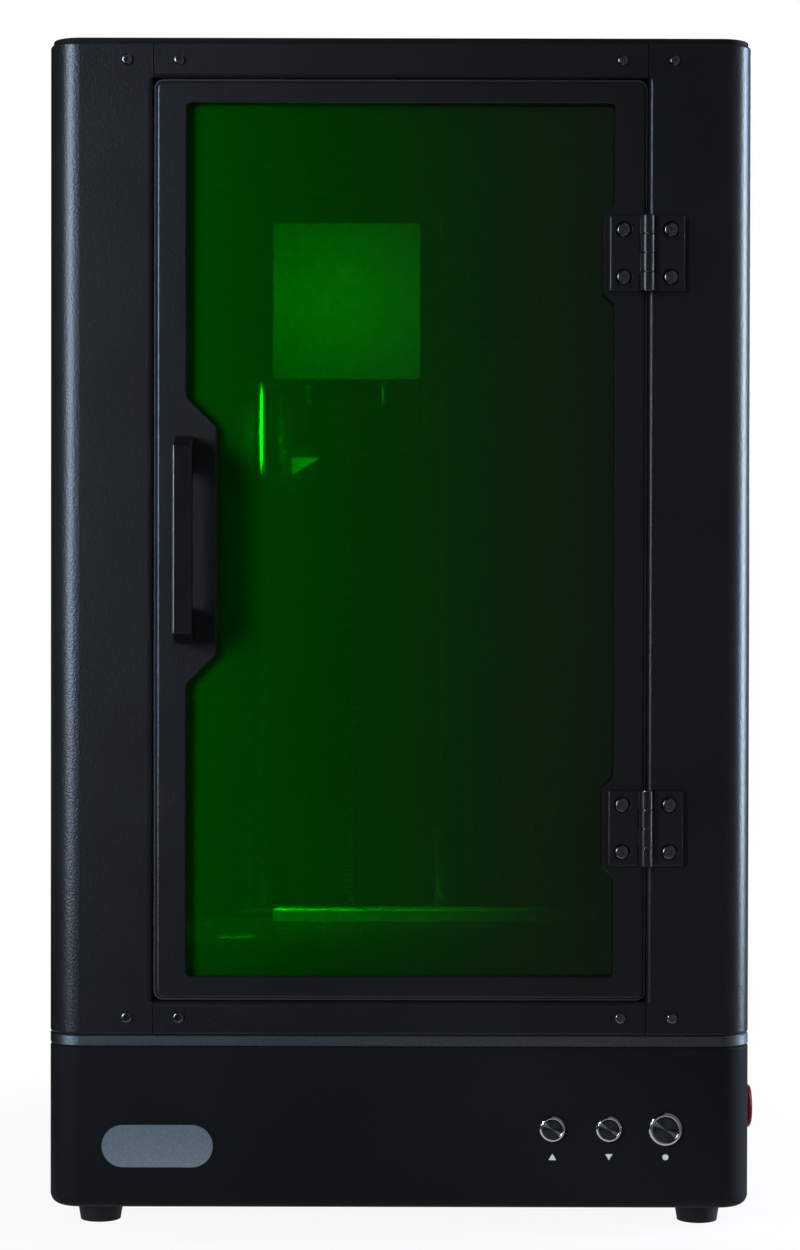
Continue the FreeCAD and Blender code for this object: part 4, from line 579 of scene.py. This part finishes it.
# Oiled rolled steel: dark under its film of grease, so that the thread shows only as a dull ripple.
oiled_steel, tree = begin("oiled_rolled_steel")
place = add(tree, "ShaderNodeTexCoord")
film = add(tree, "ShaderNodeTexNoise", {"Scale": 1 / oil_film, "Detail": 3.0}, {"Vector": (place, "Object")})
tone = add(tree, "ShaderNodeMix", {"data_type": "RGBA", "A": linear(oiled_dark), "B": linear(oiled_pale)},
           {"Factor": (film, "Fac")})
gloss = add(tree, "ShaderNodeMapRange", {"To Min": 0.5, "To Max": 0.62}, {"Value": (film, "Fac")})
surface = add(tree, "ShaderNodeBsdfPrincipled", {"Metallic": 1.0},
              {"Base Color": (tone, "Result"), "Roughness": (gloss, "Result")})
add(tree, "ShaderNodeOutputMaterial", {}, {"Surface": (surface, "BSDF")})
dress(oiled_steel, "lead_screw")

ring_count = round((thread_high.z - thread_low.z) / ring_step)
screw_verts = []
for level in range(ring_count + 1):
    z = thread_low.z + (thread_high.z - thread_low.z) * level / ring_count
    plain = min(z - thread_low.z, thread_high.z - z) < thread_plain_end
    for point in range(ring_points):
        turn = 2 * math.pi * point / ring_points
        phase = thread_starts * (z / thread_lead * 2 * math.pi - turn)
        groove = 0.0 if plain else max(0.0, min(1.0, 0.5 + flank_steepness * math.cos(phase)))
        radius = thread_radius - thread_depth * groove
        x = thread_centre.x + radius * math.cos(turn)
        y = thread_centre.y + radius * math.sin(turn)
        screw_verts.append((x, y, z))
screw_faces = []
for level in range(ring_count):
    for point in range(ring_points):
        after = (point + 1) % ring_points
        low = level * ring_points
        high = low + ring_points
        screw_faces.append((low + point, low + after, high + after, high + point))
screw_faces.append(tuple(range(ring_points))[::-1])
screw_faces.append(tuple(ring_count * ring_points + point for point in range(ring_points)))
screw_mesh = bpy.data.meshes.new("threaded_screw")
screw_mesh.from_pydata(screw_verts, [], screw_faces)
screw_mesh.materials.append(oiled_steel)
threaded_screw = bpy.data.objects.new("threaded_screw", screw_mesh)
bpy.context.scene.collection.objects.link(threaded_screw)
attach(threaded_screw, "screw")
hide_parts("lead_screw")


# Carriage bushes and the lift's nut: turned bronze, pressed into the carriage.
# The two aiming pointers, screwed up into the scanning head, have ground steel barrels like the shafts.
bronze_tone = "#a37a3c"
bronze_dull = "#7d5c2c"

# Turned bronze: warm brown metal with dull lathe lines.
turned_bronze, tree = begin("turned_bronze")
place = add(tree, "ShaderNodeTexCoord")
stretch = add(tree, "ShaderNodeMapping", {"Scale": (1 / mill_length, 1 / mill_length, 1 / grinding_line)},
              {"Vector": (place, "Object")})
lathe = add(tree, "ShaderNodeTexNoise", {"Scale": 1.0, "Detail": 3.0}, {"Vector": (stretch, "Vector")})
tone = add(tree, "ShaderNodeMix", {"data_type": "RGBA", "A": linear(bronze_dull), "B": linear(bronze_tone)},
           {"Factor": (lathe, "Fac")})
surface = add(tree, "ShaderNodeBsdfPrincipled", {"Metallic": 1.0, "Roughness": 0.55},
              {"Base Color": (tone, "Result")})
add(tree, "ShaderNodeOutputMaterial", {}, {"Surface": (surface, "BSDF")})
dress(turned_bronze, "carriage_bushes")
dress(ground_steel, "red_pointers")


# Scanning head: a square cast housing with a screwed front cover.
# It holds the two mirrors and their motors, and is blasted and coated in a plain mid grey.
casting_grain = 1.2 * mm
head_grey = "#8a8d90"
head_pale = "#a2a5a8"

# Satin enamel on the casting: even grey with a light orange peel.
satin_enamel, tree = begin("satin_grey_enamel")
place = add(tree, "ShaderNodeTexCoord")
peel = add(tree, "ShaderNodeTexNoise", {"Scale": 1 / casting_grain, "Detail": 3.0},
           {"Vector": (place, "Object")})
tone = add(tree, "ShaderNodeMix", {"data_type": "RGBA", "A": linear(head_grey), "B": linear(head_pale)},
           {"Factor": (peel, "Fac")})
skin = add(tree, "ShaderNodeBump", {"Strength": 0.2, "Distance": 0.1 * mm}, {"Height": (peel, "Fac")})
surface = add(tree, "ShaderNodeBsdfPrincipled", {"Roughness": 0.5},
              {"Base Color": (tone, "Result"), "Normal": (skin, "Normal")})
add(tree, "ShaderNodeOutputMaterial", {}, {"Surface": (surface, "BSDF")})
dress(satin_enamel, "galvo_housing", "galvo_cover")


# Lens glass and scanning mirrors: polished optics. The lens is held in the barrel by its lip,
# and each mirror is glued to the shaft of its motor.
lens_tint = "#9fb4c8"
lens_clear = "#c9d3dc"
mirror_tone = "#e4e6ea"
bloom_patch = 6 * mm

# Coated optical glass: clear, with the bluish reflection of its coating.
coated_glass, tree = begin("coated_optical_glass")
clear = add(tree, "ShaderNodeBsdfTransparent", {"Color": linear(lens_clear)})
coating = add(tree, "ShaderNodeBsdfPrincipled",
              {"Base Color": linear(lens_tint), "Roughness": 0.04, "IOR": 1.52, "Metallic": 0.4})
edge = add(tree, "ShaderNodeLayerWeight", {"Blend": 0.35})
surface = add(tree, "ShaderNodeMixShader", {},
              {0: (edge, "Facing"), 1: (clear, "BSDF"), 2: (coating, "BSDF")})
add(tree, "ShaderNodeOutputMaterial", {}, {"Surface": (surface, "Shader")})
dress(coated_glass, "lens_glass")

# Silvered mirror: reflects all, with a trace of warm bloom from its coating.
silvered_mirror, tree = begin("silvered_mirror")
place = add(tree, "ShaderNodeTexCoord")
bloom = add(tree, "ShaderNodeTexNoise", {"Scale": 1 / bloom_patch, "Detail": 2.0},
            {"Vector": (place, "Object")})
gloss = add(tree, "ShaderNodeMapRange", {"To Min": 0.02, "To Max": 0.06}, {"Value": (bloom, "Fac")})
surface = add(tree, "ShaderNodeBsdfPrincipled", {"Base Color": linear(mirror_tone), "Metallic": 1.0},
              {"Roughness": (gloss, "Result")})
add(tree, "ShaderNodeOutputMaterial", {}, {"Surface": (surface, "BSDF")})
dress(silvered_mirror, "galvo_x_mirror", "galvo_y_mirror")


# Limit flag: a small triangle of zinc-plated sheet steel screwed over the lower edge of the carriage.
# It marks the end of the lift's travel for a switch.
carriage_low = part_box("carriage_block")[0]
flag_inset = 37 * mm
flag_width = 19 * mm
flag_drop = 12 * mm
flag_sink = 6 * mm
flag_seat = 2 * mm
flag_sheet = 0.8 * mm
flag_edge = flag_sheet / 4
zinc_bright = "#83878b"
zinc_spangle = "#6c7075"
spangle_size = 3 * mm

# Zinc plate: pale cool metal with a soft spangle.
zinc_plate, tree = begin("zinc_plated_steel")
place = add(tree, "ShaderNodeTexCoord")
spangle = add(tree, "ShaderNodeTexVoronoi", {"Scale": 1 / spangle_size}, {"Vector": (place, "Object")})
tone = add(tree, "ShaderNodeMix", {"data_type": "RGBA", "A": linear(zinc_spangle), "B": linear(zinc_bright)},
           {"Factor": (spangle, "Distance")})
surface = add(tree, "ShaderNodeBsdfPrincipled", {"Metallic": 0.6, "Roughness": 0.5},
              {"Base Color": (tone, "Result")})
add(tree, "ShaderNodeOutputMaterial", {}, {"Surface": (surface, "BSDF")})

flag_face = carriage_low.y + flag_seat
flag_left = carriage_low.x + flag_inset
flag_tip = carriage_low.z - flag_sink
flag_top = flag_tip + flag_drop
outline = [(flag_left, flag_top), (flag_left + flag_width, flag_top), (flag_left, flag_tip)]
shape = prism([(x, flag_face - flag_sheet, z) for x, z in outline], [(x, flag_face, z) for x, z in outline])
bmesh.ops.bevel(shape, geom=shape.edges[:], offset=flag_edge, segments=2, affect="EDGES")
limit_flag = make_piece("limit_flag", shape, zinc_plate)
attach(limit_flag, "head")


# Door handle: a bridge milled from aluminium bar, polished and black anodised.
# It is screwed on from behind, through the door.
handle_smear = 14 * mm
handle_black = "#0c0d0e"
handle_grey = "#131415"
handle_edge = 0.7 * mm

# Polished black anodising: the darkest metal on the machine, smooth enough for a thin bright line
# along its edges, which polishing has rounded.
polished_anodised, tree = begin("polished_black_anodised_aluminium")
place = add(tree, "ShaderNodeTexCoord")
smears = add(tree, "ShaderNodeTexNoise", {"Scale": 1 / handle_smear, "Detail": 4.0},
             {"Vector": (place, "Object")})
tone = add(tree, "ShaderNodeMix", {"data_type": "RGBA", "A": linear(handle_black), "B": linear(handle_grey)},
           {"Factor": (smears, "Fac")})
gloss = add(tree, "ShaderNodeMapRange", {"To Min": 0.16, "To Max": 0.26}, {"Value": (smears, "Fac")})
rounded = add(tree, "ShaderNodeBevel", {"samples": 6, "Radius": handle_edge})
surface = add(tree, "ShaderNodeBsdfPrincipled", {"Specular IOR Level": 0.5},
              {"Base Color": (tone, "Result"), "Roughness": (gloss, "Result"), "Normal": (rounded, "Normal")})
add(tree, "ShaderNodeOutputMaterial", {}, {"Surface": (surface, "BSDF")})
dress(polished_anodised, "door_handle")


# Door edge lip: a strip of black rubber round the edge of the door, which closes the gap to the cabinet.
# It is glued to the door and clears the cabinet by a hair.
lip_width = 1.2 * mm
lip_root = 0.3 * mm
lip_setback = 1.6 * mm
lip_depth = 3 * mm
lip_crown = 0.4 * mm
lip_peak = 0.4 * lip_width
lip_shoulder = 0.8 * lip_width
door_corner = 4 * mm
corner_points = 6
# Painted light: both tones are lifted above black rubber to stand for light reaching into the door gap.
trim_dark_painted_light = "#242527"
trim_pale_painted_light = "#303134"
door_low, door_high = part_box("door_frame")

# Trim rubber: extruded strip, matt, its black painted paler than the coat as painted light in the shaded gap,
# so the gap reads as a soft dark line.
trim_rubber, tree = begin("extruded_trim_rubber")
place = add(tree, "ShaderNodeTexCoord")
bloom = add(tree, "ShaderNodeTexNoise", {"Scale": 1 / rubber_pore, "Detail": 3.0},
            {"Vector": (place, "Object")})
tone = add(tree, "ShaderNodeMix", {"data_type": "RGBA", "A": linear(trim_dark_painted_light), "B": linear(trim_pale_painted_light)},
           {"Factor": (bloom, "Fac")})
surface = add(tree, "ShaderNodeBsdfPrincipled", {"Roughness": 0.75, "Specular IOR Level": 0.2},
              {"Base Color": (tone, "Result")})
add(tree, "ShaderNodeOutputMaterial", {}, {"Surface": (surface, "BSDF")})


def door_ring(shape, out, depth):
    """One ring of points round the door at a distance outside its edge and a depth behind its face."""
    radius = door_corner + out
    left = door_low.x + door_corner
    right = door_high.x - door_corner
    bottom = door_low.z + door_corner
    top = door_high.z - door_corner
    ring = []
    for quarter, (x, z) in enumerate([(right, top), (left, top), (left, bottom), (right, bottom)]):
        for step in range(corner_points + 1):
            turn = (quarter + step / corner_points) * math.pi / 2
            point = (x + radius * math.cos(turn), door_low.y + depth, z + radius * math.sin(turn))
            ring.append(shape.verts.new(point))
    return ring


shape = bmesh.new()
section = [(-lip_root, lip_setback + lip_crown), (lip_peak, lip_setback),
           (lip_shoulder, lip_setback + lip_crown / 2), (lip_width, lip_setback + 2 * lip_crown),
           (lip_width, lip_setback + lip_depth), (-lip_root, lip_setback + lip_depth)]
rings = [door_ring(shape, out, depth) for out, depth in section]
for i in range(len(rings)):
    for k in range(len(rings[i])):
        shape.faces.new((rings[i - 1][k - 1], rings[i - 1][k], rings[i][k], rings[i][k - 1]))
bmesh.ops.recalc_face_normals(shape, faces=shape.faces)
door_lip = make_piece("door_lip", shape, trim_rubber)
door_lip.data.polygons.foreach_set("use_smooth", [True] * len(door_lip.data.polygons))
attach(door_lip, "door")


# Window: a 6 mm pane of deep green acrylic that stops the laser's light, let into the door frame from behind.
# It passes only green, and the dye in it glows a little where light falls on it.
dye_through = "#00dc00"
dye_glow = "#005a02"
# Painted light: the share of lit haze is painted high at the latch side and almost nil at the hinges, so the
# pane reads brighter on the left.
painted_light_haze_at_latch = 0.42
painted_light_haze_at_hinges = 0.02
pane_index = 1.49
pane_cloud = 120 * mm

# Green safety acrylic: deep clear green with a soft green haze, under a smooth polished face, and more of
# that haze painted at the latch side as painted light falling from the left.
safety_acrylic, tree = begin("green_safety_acrylic")
place = add(tree, "ShaderNodeTexCoord")
cloud = add(tree, "ShaderNodeTexNoise", {"Scale": 1 / pane_cloud, "Detail": 2.0},
            {"Vector": (place, "Object")})
polish = add(tree, "ShaderNodeMapRange", {"To Min": 0.03, "To Max": 0.06}, {"Value": (cloud, "Fac")})
through = add(tree, "ShaderNodeBsdfTransparent", {"Color": linear(dye_through)})
glow = add(tree, "ShaderNodeBsdfDiffuse", {"Color": linear(dye_glow)})
pane_low, pane_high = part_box("door_window")
split = add(tree, "ShaderNodeSeparateXYZ", {}, {"Vector": (place, "Object")})
# Painted light: the haze's share runs down across the pane from the latch to the hinges, as if light fell
# from the left.
painted_light_haze = add(tree, "ShaderNodeMapRange",
           {"From Min": pane_low.x, "From Max": pane_high.x,
            "To Min": painted_light_haze_at_latch, "To Max": painted_light_haze_at_hinges}, {"Value": (split, "X")})
dyed = add(tree, "ShaderNodeMixShader", {}, {0: (painted_light_haze, "Result"), 1: (through, "BSDF"), 2: (glow, "BSDF")})
face = add(tree, "ShaderNodeBsdfGlossy", {"Color": (1.0, 1.0, 1.0, 1.0)}, {"Roughness": (polish, "Result")})
mirrored = add(tree, "ShaderNodeFresnel", {"IOR": pane_index})
surface = add(tree, "ShaderNodeMixShader", {}, {0: (mirrored, "Fac"), 1: (dyed, "Shader"), 2: (face, "BSDF")})
add(tree, "ShaderNodeOutputMaterial", {}, {"Surface": (surface, "Shader")})
dress(safety_acrylic, "door_window")


# Hinges: two butt hinges cast in zinc, with four alternating knuckles on a steel pin.
# Each leaf is fixed by two screws in counterbores, one leaf to the pillar and one to the door.
casting_pit = 1.0 * mm
zinc_black = "#101112"
zinc_rub = "#191a1c"
leaf_edge = 0.5 * mm

# Coated zinc: satin black, smoother than the cabinet, so its knuckles and the cast round of its edges
# catch thin bright lines.
coated_zinc, tree = begin("satin_black_coated_zinc")
place = add(tree, "ShaderNodeTexCoord")
pits = add(tree, "ShaderNodeTexNoise", {"Scale": 1 / casting_pit, "Detail": 3.0},
           {"Vector": (place, "Object")})
tone = add(tree, "ShaderNodeMix", {"data_type": "RGBA", "A": linear(zinc_black), "B": linear(zinc_rub)},
           {"Factor": (pits, "Fac")})
rounded = add(tree, "ShaderNodeBevel", {"samples": 6, "Radius": leaf_edge})
skin = add(tree, "ShaderNodeBump", {"Strength": 0.2, "Distance": 0.1 * mm},
           {"Height": (pits, "Fac"), "Normal": (rounded, "Normal")})
surface = add(tree, "ShaderNodeBsdfPrincipled", {"Roughness": 0.3, "Specular IOR Level": 0.38},
              {"Base Color": (tone, "Result"), "Normal": (skin, "Normal")})
add(tree, "ShaderNodeOutputMaterial", {}, {"Surface": (surface, "BSDF")})
dress(coated_zinc, "hinge_frame_leaves", "hinge_door_leaves")


# Studio floor: a wide sheet of white paper, which is not part of the object.
# It is full white from a short way off, and nearer it lets the object's soft shadow through.
floor_reach = 6.0
floor_paper = "#eef0f2"
# The paper's own white near the object, and the distances from the middle between which it becomes full.
floor_lift = 0.92
floor_near = 0.26
floor_far = 0.42
# In reflections the dim side of the studio rises from black to this strength between two slants.
studio_dim = 0.15
studio_dark_edge = -0.036
studio_pale_edge = 0.085
# The floor measures its slants from a point this far behind the middle.
pane_mirror = 1.51

# White studio paper: white to the eye, and in the pane and the black coat the dim side of the studio,
# which grows paler from left to right just as the room above it does.
white_paper, tree = begin("white_studio_paper")
path = add(tree, "ShaderNodeLightPath")
spot = add(tree, "ShaderNodeTexCoord")
reach = add(tree, "ShaderNodeVectorMath", {"operation": "LENGTH"}, {0: (spot, "Object")})
away = add(tree, "ShaderNodeMapRange", {"From Min": floor_near, "From Max": floor_far},
           {"Value": (reach, "Value")})
lift = add(tree, "ShaderNodeMapRange", {"From Min": floor_near, "From Max": floor_far, "To Min": floor_lift},
           {"Value": (reach, "Value")})
straight = add(tree, "ShaderNodeMath", {"operation": "MAXIMUM"},
               {0: (path, "Is Camera Ray"), 1: (path, "Is Transmission Ray")})
shown = add(tree, "ShaderNodeMath", {"operation": "MAXIMUM"},
            {0: (straight, "Value"), 1: (path, "Is Glossy Ray")})
share = add(tree, "ShaderNodeMath", {"operation": "MULTIPLY"}, {0: (shown, "Value"), 1: (lift, "Result")})
matt = add(tree, "ShaderNodeBsdfDiffuse", {"Color": linear(floor_paper)})
lit = add(tree, "ShaderNodeEmission", {"Color": (1.0, 1.0, 1.0, 1.0), "Strength": 1.0})
paper = add(tree, "ShaderNodeMixShader", {}, {0: (share, "Value"), 1: (matt, "BSDF"), 2: (lit, "Emission")})
dark_end = add(tree, "ShaderNodeMath", {"operation": "MULTIPLY"},
               {0: (path, "Is Glossy Ray"), 1: (away, "Result")})
across = add(tree, "ShaderNodeSeparateXYZ", {}, {"Vector": (spot, "Object")})
depth = add(tree, "ShaderNodeMath", {"operation": "SUBTRACT", 0: pane_mirror}, {1: (across, "Y")})
slant = add(tree, "ShaderNodeMath", {"operation": "DIVIDE"}, {0: (across, "X"), 1: (depth, "Value")})
dim = add(tree, "ShaderNodeMapRange",
          {"From Min": studio_dark_edge, "From Max": studio_pale_edge, "To Max": studio_dim},
          {"Value": (slant, "Value")})
unlit = add(tree, "ShaderNodeEmission", {"Color": (1.0, 1.0, 1.0, 1.0)}, {"Strength": (dim, "Result")})
surface = add(tree, "ShaderNodeMixShader", {},
              {0: (dark_end, "Value"), 1: (paper, "Shader"), 2: (unlit, "Emission")})
add(tree, "ShaderNodeOutputMaterial", {}, {"Surface": (surface, "Shader")})
floor_mesh = bpy.data.meshes.new("studio_floor")
corners = [(-floor_reach, -floor_reach, 0.0), (floor_reach, -floor_reach, 0.0),
           (floor_reach, floor_reach, 0.0), (-floor_reach, floor_reach, 0.0)]
floor_mesh.from_pydata(corners, [], [(0, 1, 2, 3)])
floor_mesh.materials.append(white_paper)
floor = bpy.data.objects.new("studio_floor", floor_mesh)
bpy.context.scene.collection.objects.link(floor)


# Studio room: white to the eye and behind the object, and a dim even grey for the light on it.
# In front of it is the dark side of the studio, which shows in the black coat and the window.
room_light = 0.26
# Directions that point back by more than this share of their length begin to meet the white backdrop.
backdrop_cone = 0.94

world = bpy.data.worlds.new("studio_room")
world.use_nodes = True
tree = world.node_tree
tree.nodes.clear()
path = add(tree, "ShaderNodeLightPath")
facing = add(tree, "ShaderNodeTexCoord")
axes = add(tree, "ShaderNodeSeparateXYZ", {}, {"Vector": (facing, "Generated")})
front = add(tree, "ShaderNodeMapRange",
            {"From Min": studio_dark_edge, "From Max": studio_pale_edge, "To Max": studio_dim},
            {"Value": (axes, "X")})
behind = add(tree, "ShaderNodeMapRange", {"From Min": backdrop_cone, "From Max": 1.0},
             {"Value": (axes, "Y"), "To Min": (front, "Result")})
glossy = add(tree, "ShaderNodeMix", {"data_type": "FLOAT", "A": room_light},
             {"Factor": (path, "Is Glossy Ray"), "B": (behind, "Result")})
straight = add(tree, "ShaderNodeMath", {"operation": "MAXIMUM"},
               {0: (path, "Is Camera Ray"), 1: (path, "Is Transmission Ray")})
strength = add(tree, "ShaderNodeMix", {"data_type": "FLOAT", "B": 1.0},
               {"Factor": (straight, "Value"), "A": (glossy, "Result")})
backdrop = add(tree, "ShaderNodeBackground", {"Color": (1.0, 1.0, 1.0, 1.0)},
               {"Strength": (strength, "Result")})
add(tree, "ShaderNodeOutputWorld", {}, {"Surface": (backdrop, "Background")})
bpy.context.scene.world = world


# Lamps: a tall cool softbox at the front left gives the left corner its bright band, one level with the
# object on the right draws the right rim, and one behind lights the back. A small spot far out on the left
# draws the streaks on the buttons, and four in the cabinet stand for its own work light.
softbox_blue = "#cfe6ff"
lamp_white = "#ffffff"


def hang_softbox(name, at, aim, width, height, watts, colour, spread):
    """A rectangular soft lamp at one point, turned towards another, with its beam held in by a grid."""
    lamp = bpy.data.lights.new(name, "AREA")
    lamp.shape = "RECTANGLE"
    lamp.size = width
    lamp.size_y = height
    lamp.energy = watts
    lamp.color = linear(colour)[:3]
    lamp.spread = math.radians(spread)
    box = bpy.data.objects.new(name, lamp)
    box.location = at
    box.rotation_euler = (Vector(aim) - Vector(at)).to_track_quat("-Z", "Y").to_euler()
    box.visible_camera = False
    bpy.context.scene.collection.objects.link(box)


hang_softbox("left_softbox", at=(-1.116, -1.073, 0.64), aim=(-0.273, 0.045, 0.44),
             width=0.75, height=0.9, watts=4.8, colour=softbox_blue, spread=42)
hang_softbox("right_softbox", at=(1.45, 0.08, 0.45), aim=(0.3, 0.0, 0.33),
             width=0.3, height=1.1, watts=22.0, colour=softbox_blue, spread=120)
hang_softbox("back_softbox", at=(0.5, 1.7, 0.85), aim=(0.0, 0.2, 0.35),
             width=0.9, height=0.9, watts=9.0, colour=lamp_white, spread=120)
hang_softbox("panel_spot", at=(-1.0, -1.05, 0.66), aim=(0.11, -0.216, 0.053),
             width=0.1, height=0.1, watts=0.012, colour=lamp_white, spread=5)
hang_softbox("head_spot", at=(-0.15, -0.19, 0.53), aim=(-0.03, -0.025, 0.51),
             width=0.02, height=0.03, watts=0.034, colour=lamp_white, spread=50)
hang_softbox("shaft_spot", at=(-0.167, -0.15, 0.462), aim=(-0.091, 0.175, 0.446),
             width=0.022, height=0.03, watts=0.017, colour=lamp_white, spread=6)
hang_softbox("flag_spot", at=(0.09, -0.17, 0.415), aim=(-0.0635, 0.1615, 0.4225),
             width=0.006, height=0.006, watts=0.0043, colour=lamp_white, spread=6)
hang_softbox("fence_spot", at=(-0.16, 0.03, 0.36), aim=(-0.08, 0.11, 0.128),
             width=0.03, height=0.03, watts=0.3, colour=lamp_white, spread=56)


# Camera: level with the middle of the cabinet and straight in front, as the photograph was taken,
# and tipped by the same small angle.
camera_distance = 1.7125
camera_level = 0.34
camera_pitch = math.radians(-0.73)
camera_lens = 81.4
camera_sensor = 36.0
camera_tip = math.radians(0.12)

camera = bpy.data.cameras.new("front_camera")
camera.lens = camera_lens
camera.sensor_width = camera_sensor
viewer = bpy.data.objects.new("front_camera", camera)
upright = Matrix.Rotation(math.pi / 2 + camera_pitch, 4, "X") @ Matrix.Rotation(camera_tip, 4, "Z")
viewer.matrix_world = Matrix.Translation((0.0, -camera_distance, camera_level)) @ upright
bpy.context.scene.collection.objects.link(viewer)
bpy.context.scene.camera = viewer
bpy.context.scene.view_settings.view_transform = "Standard"
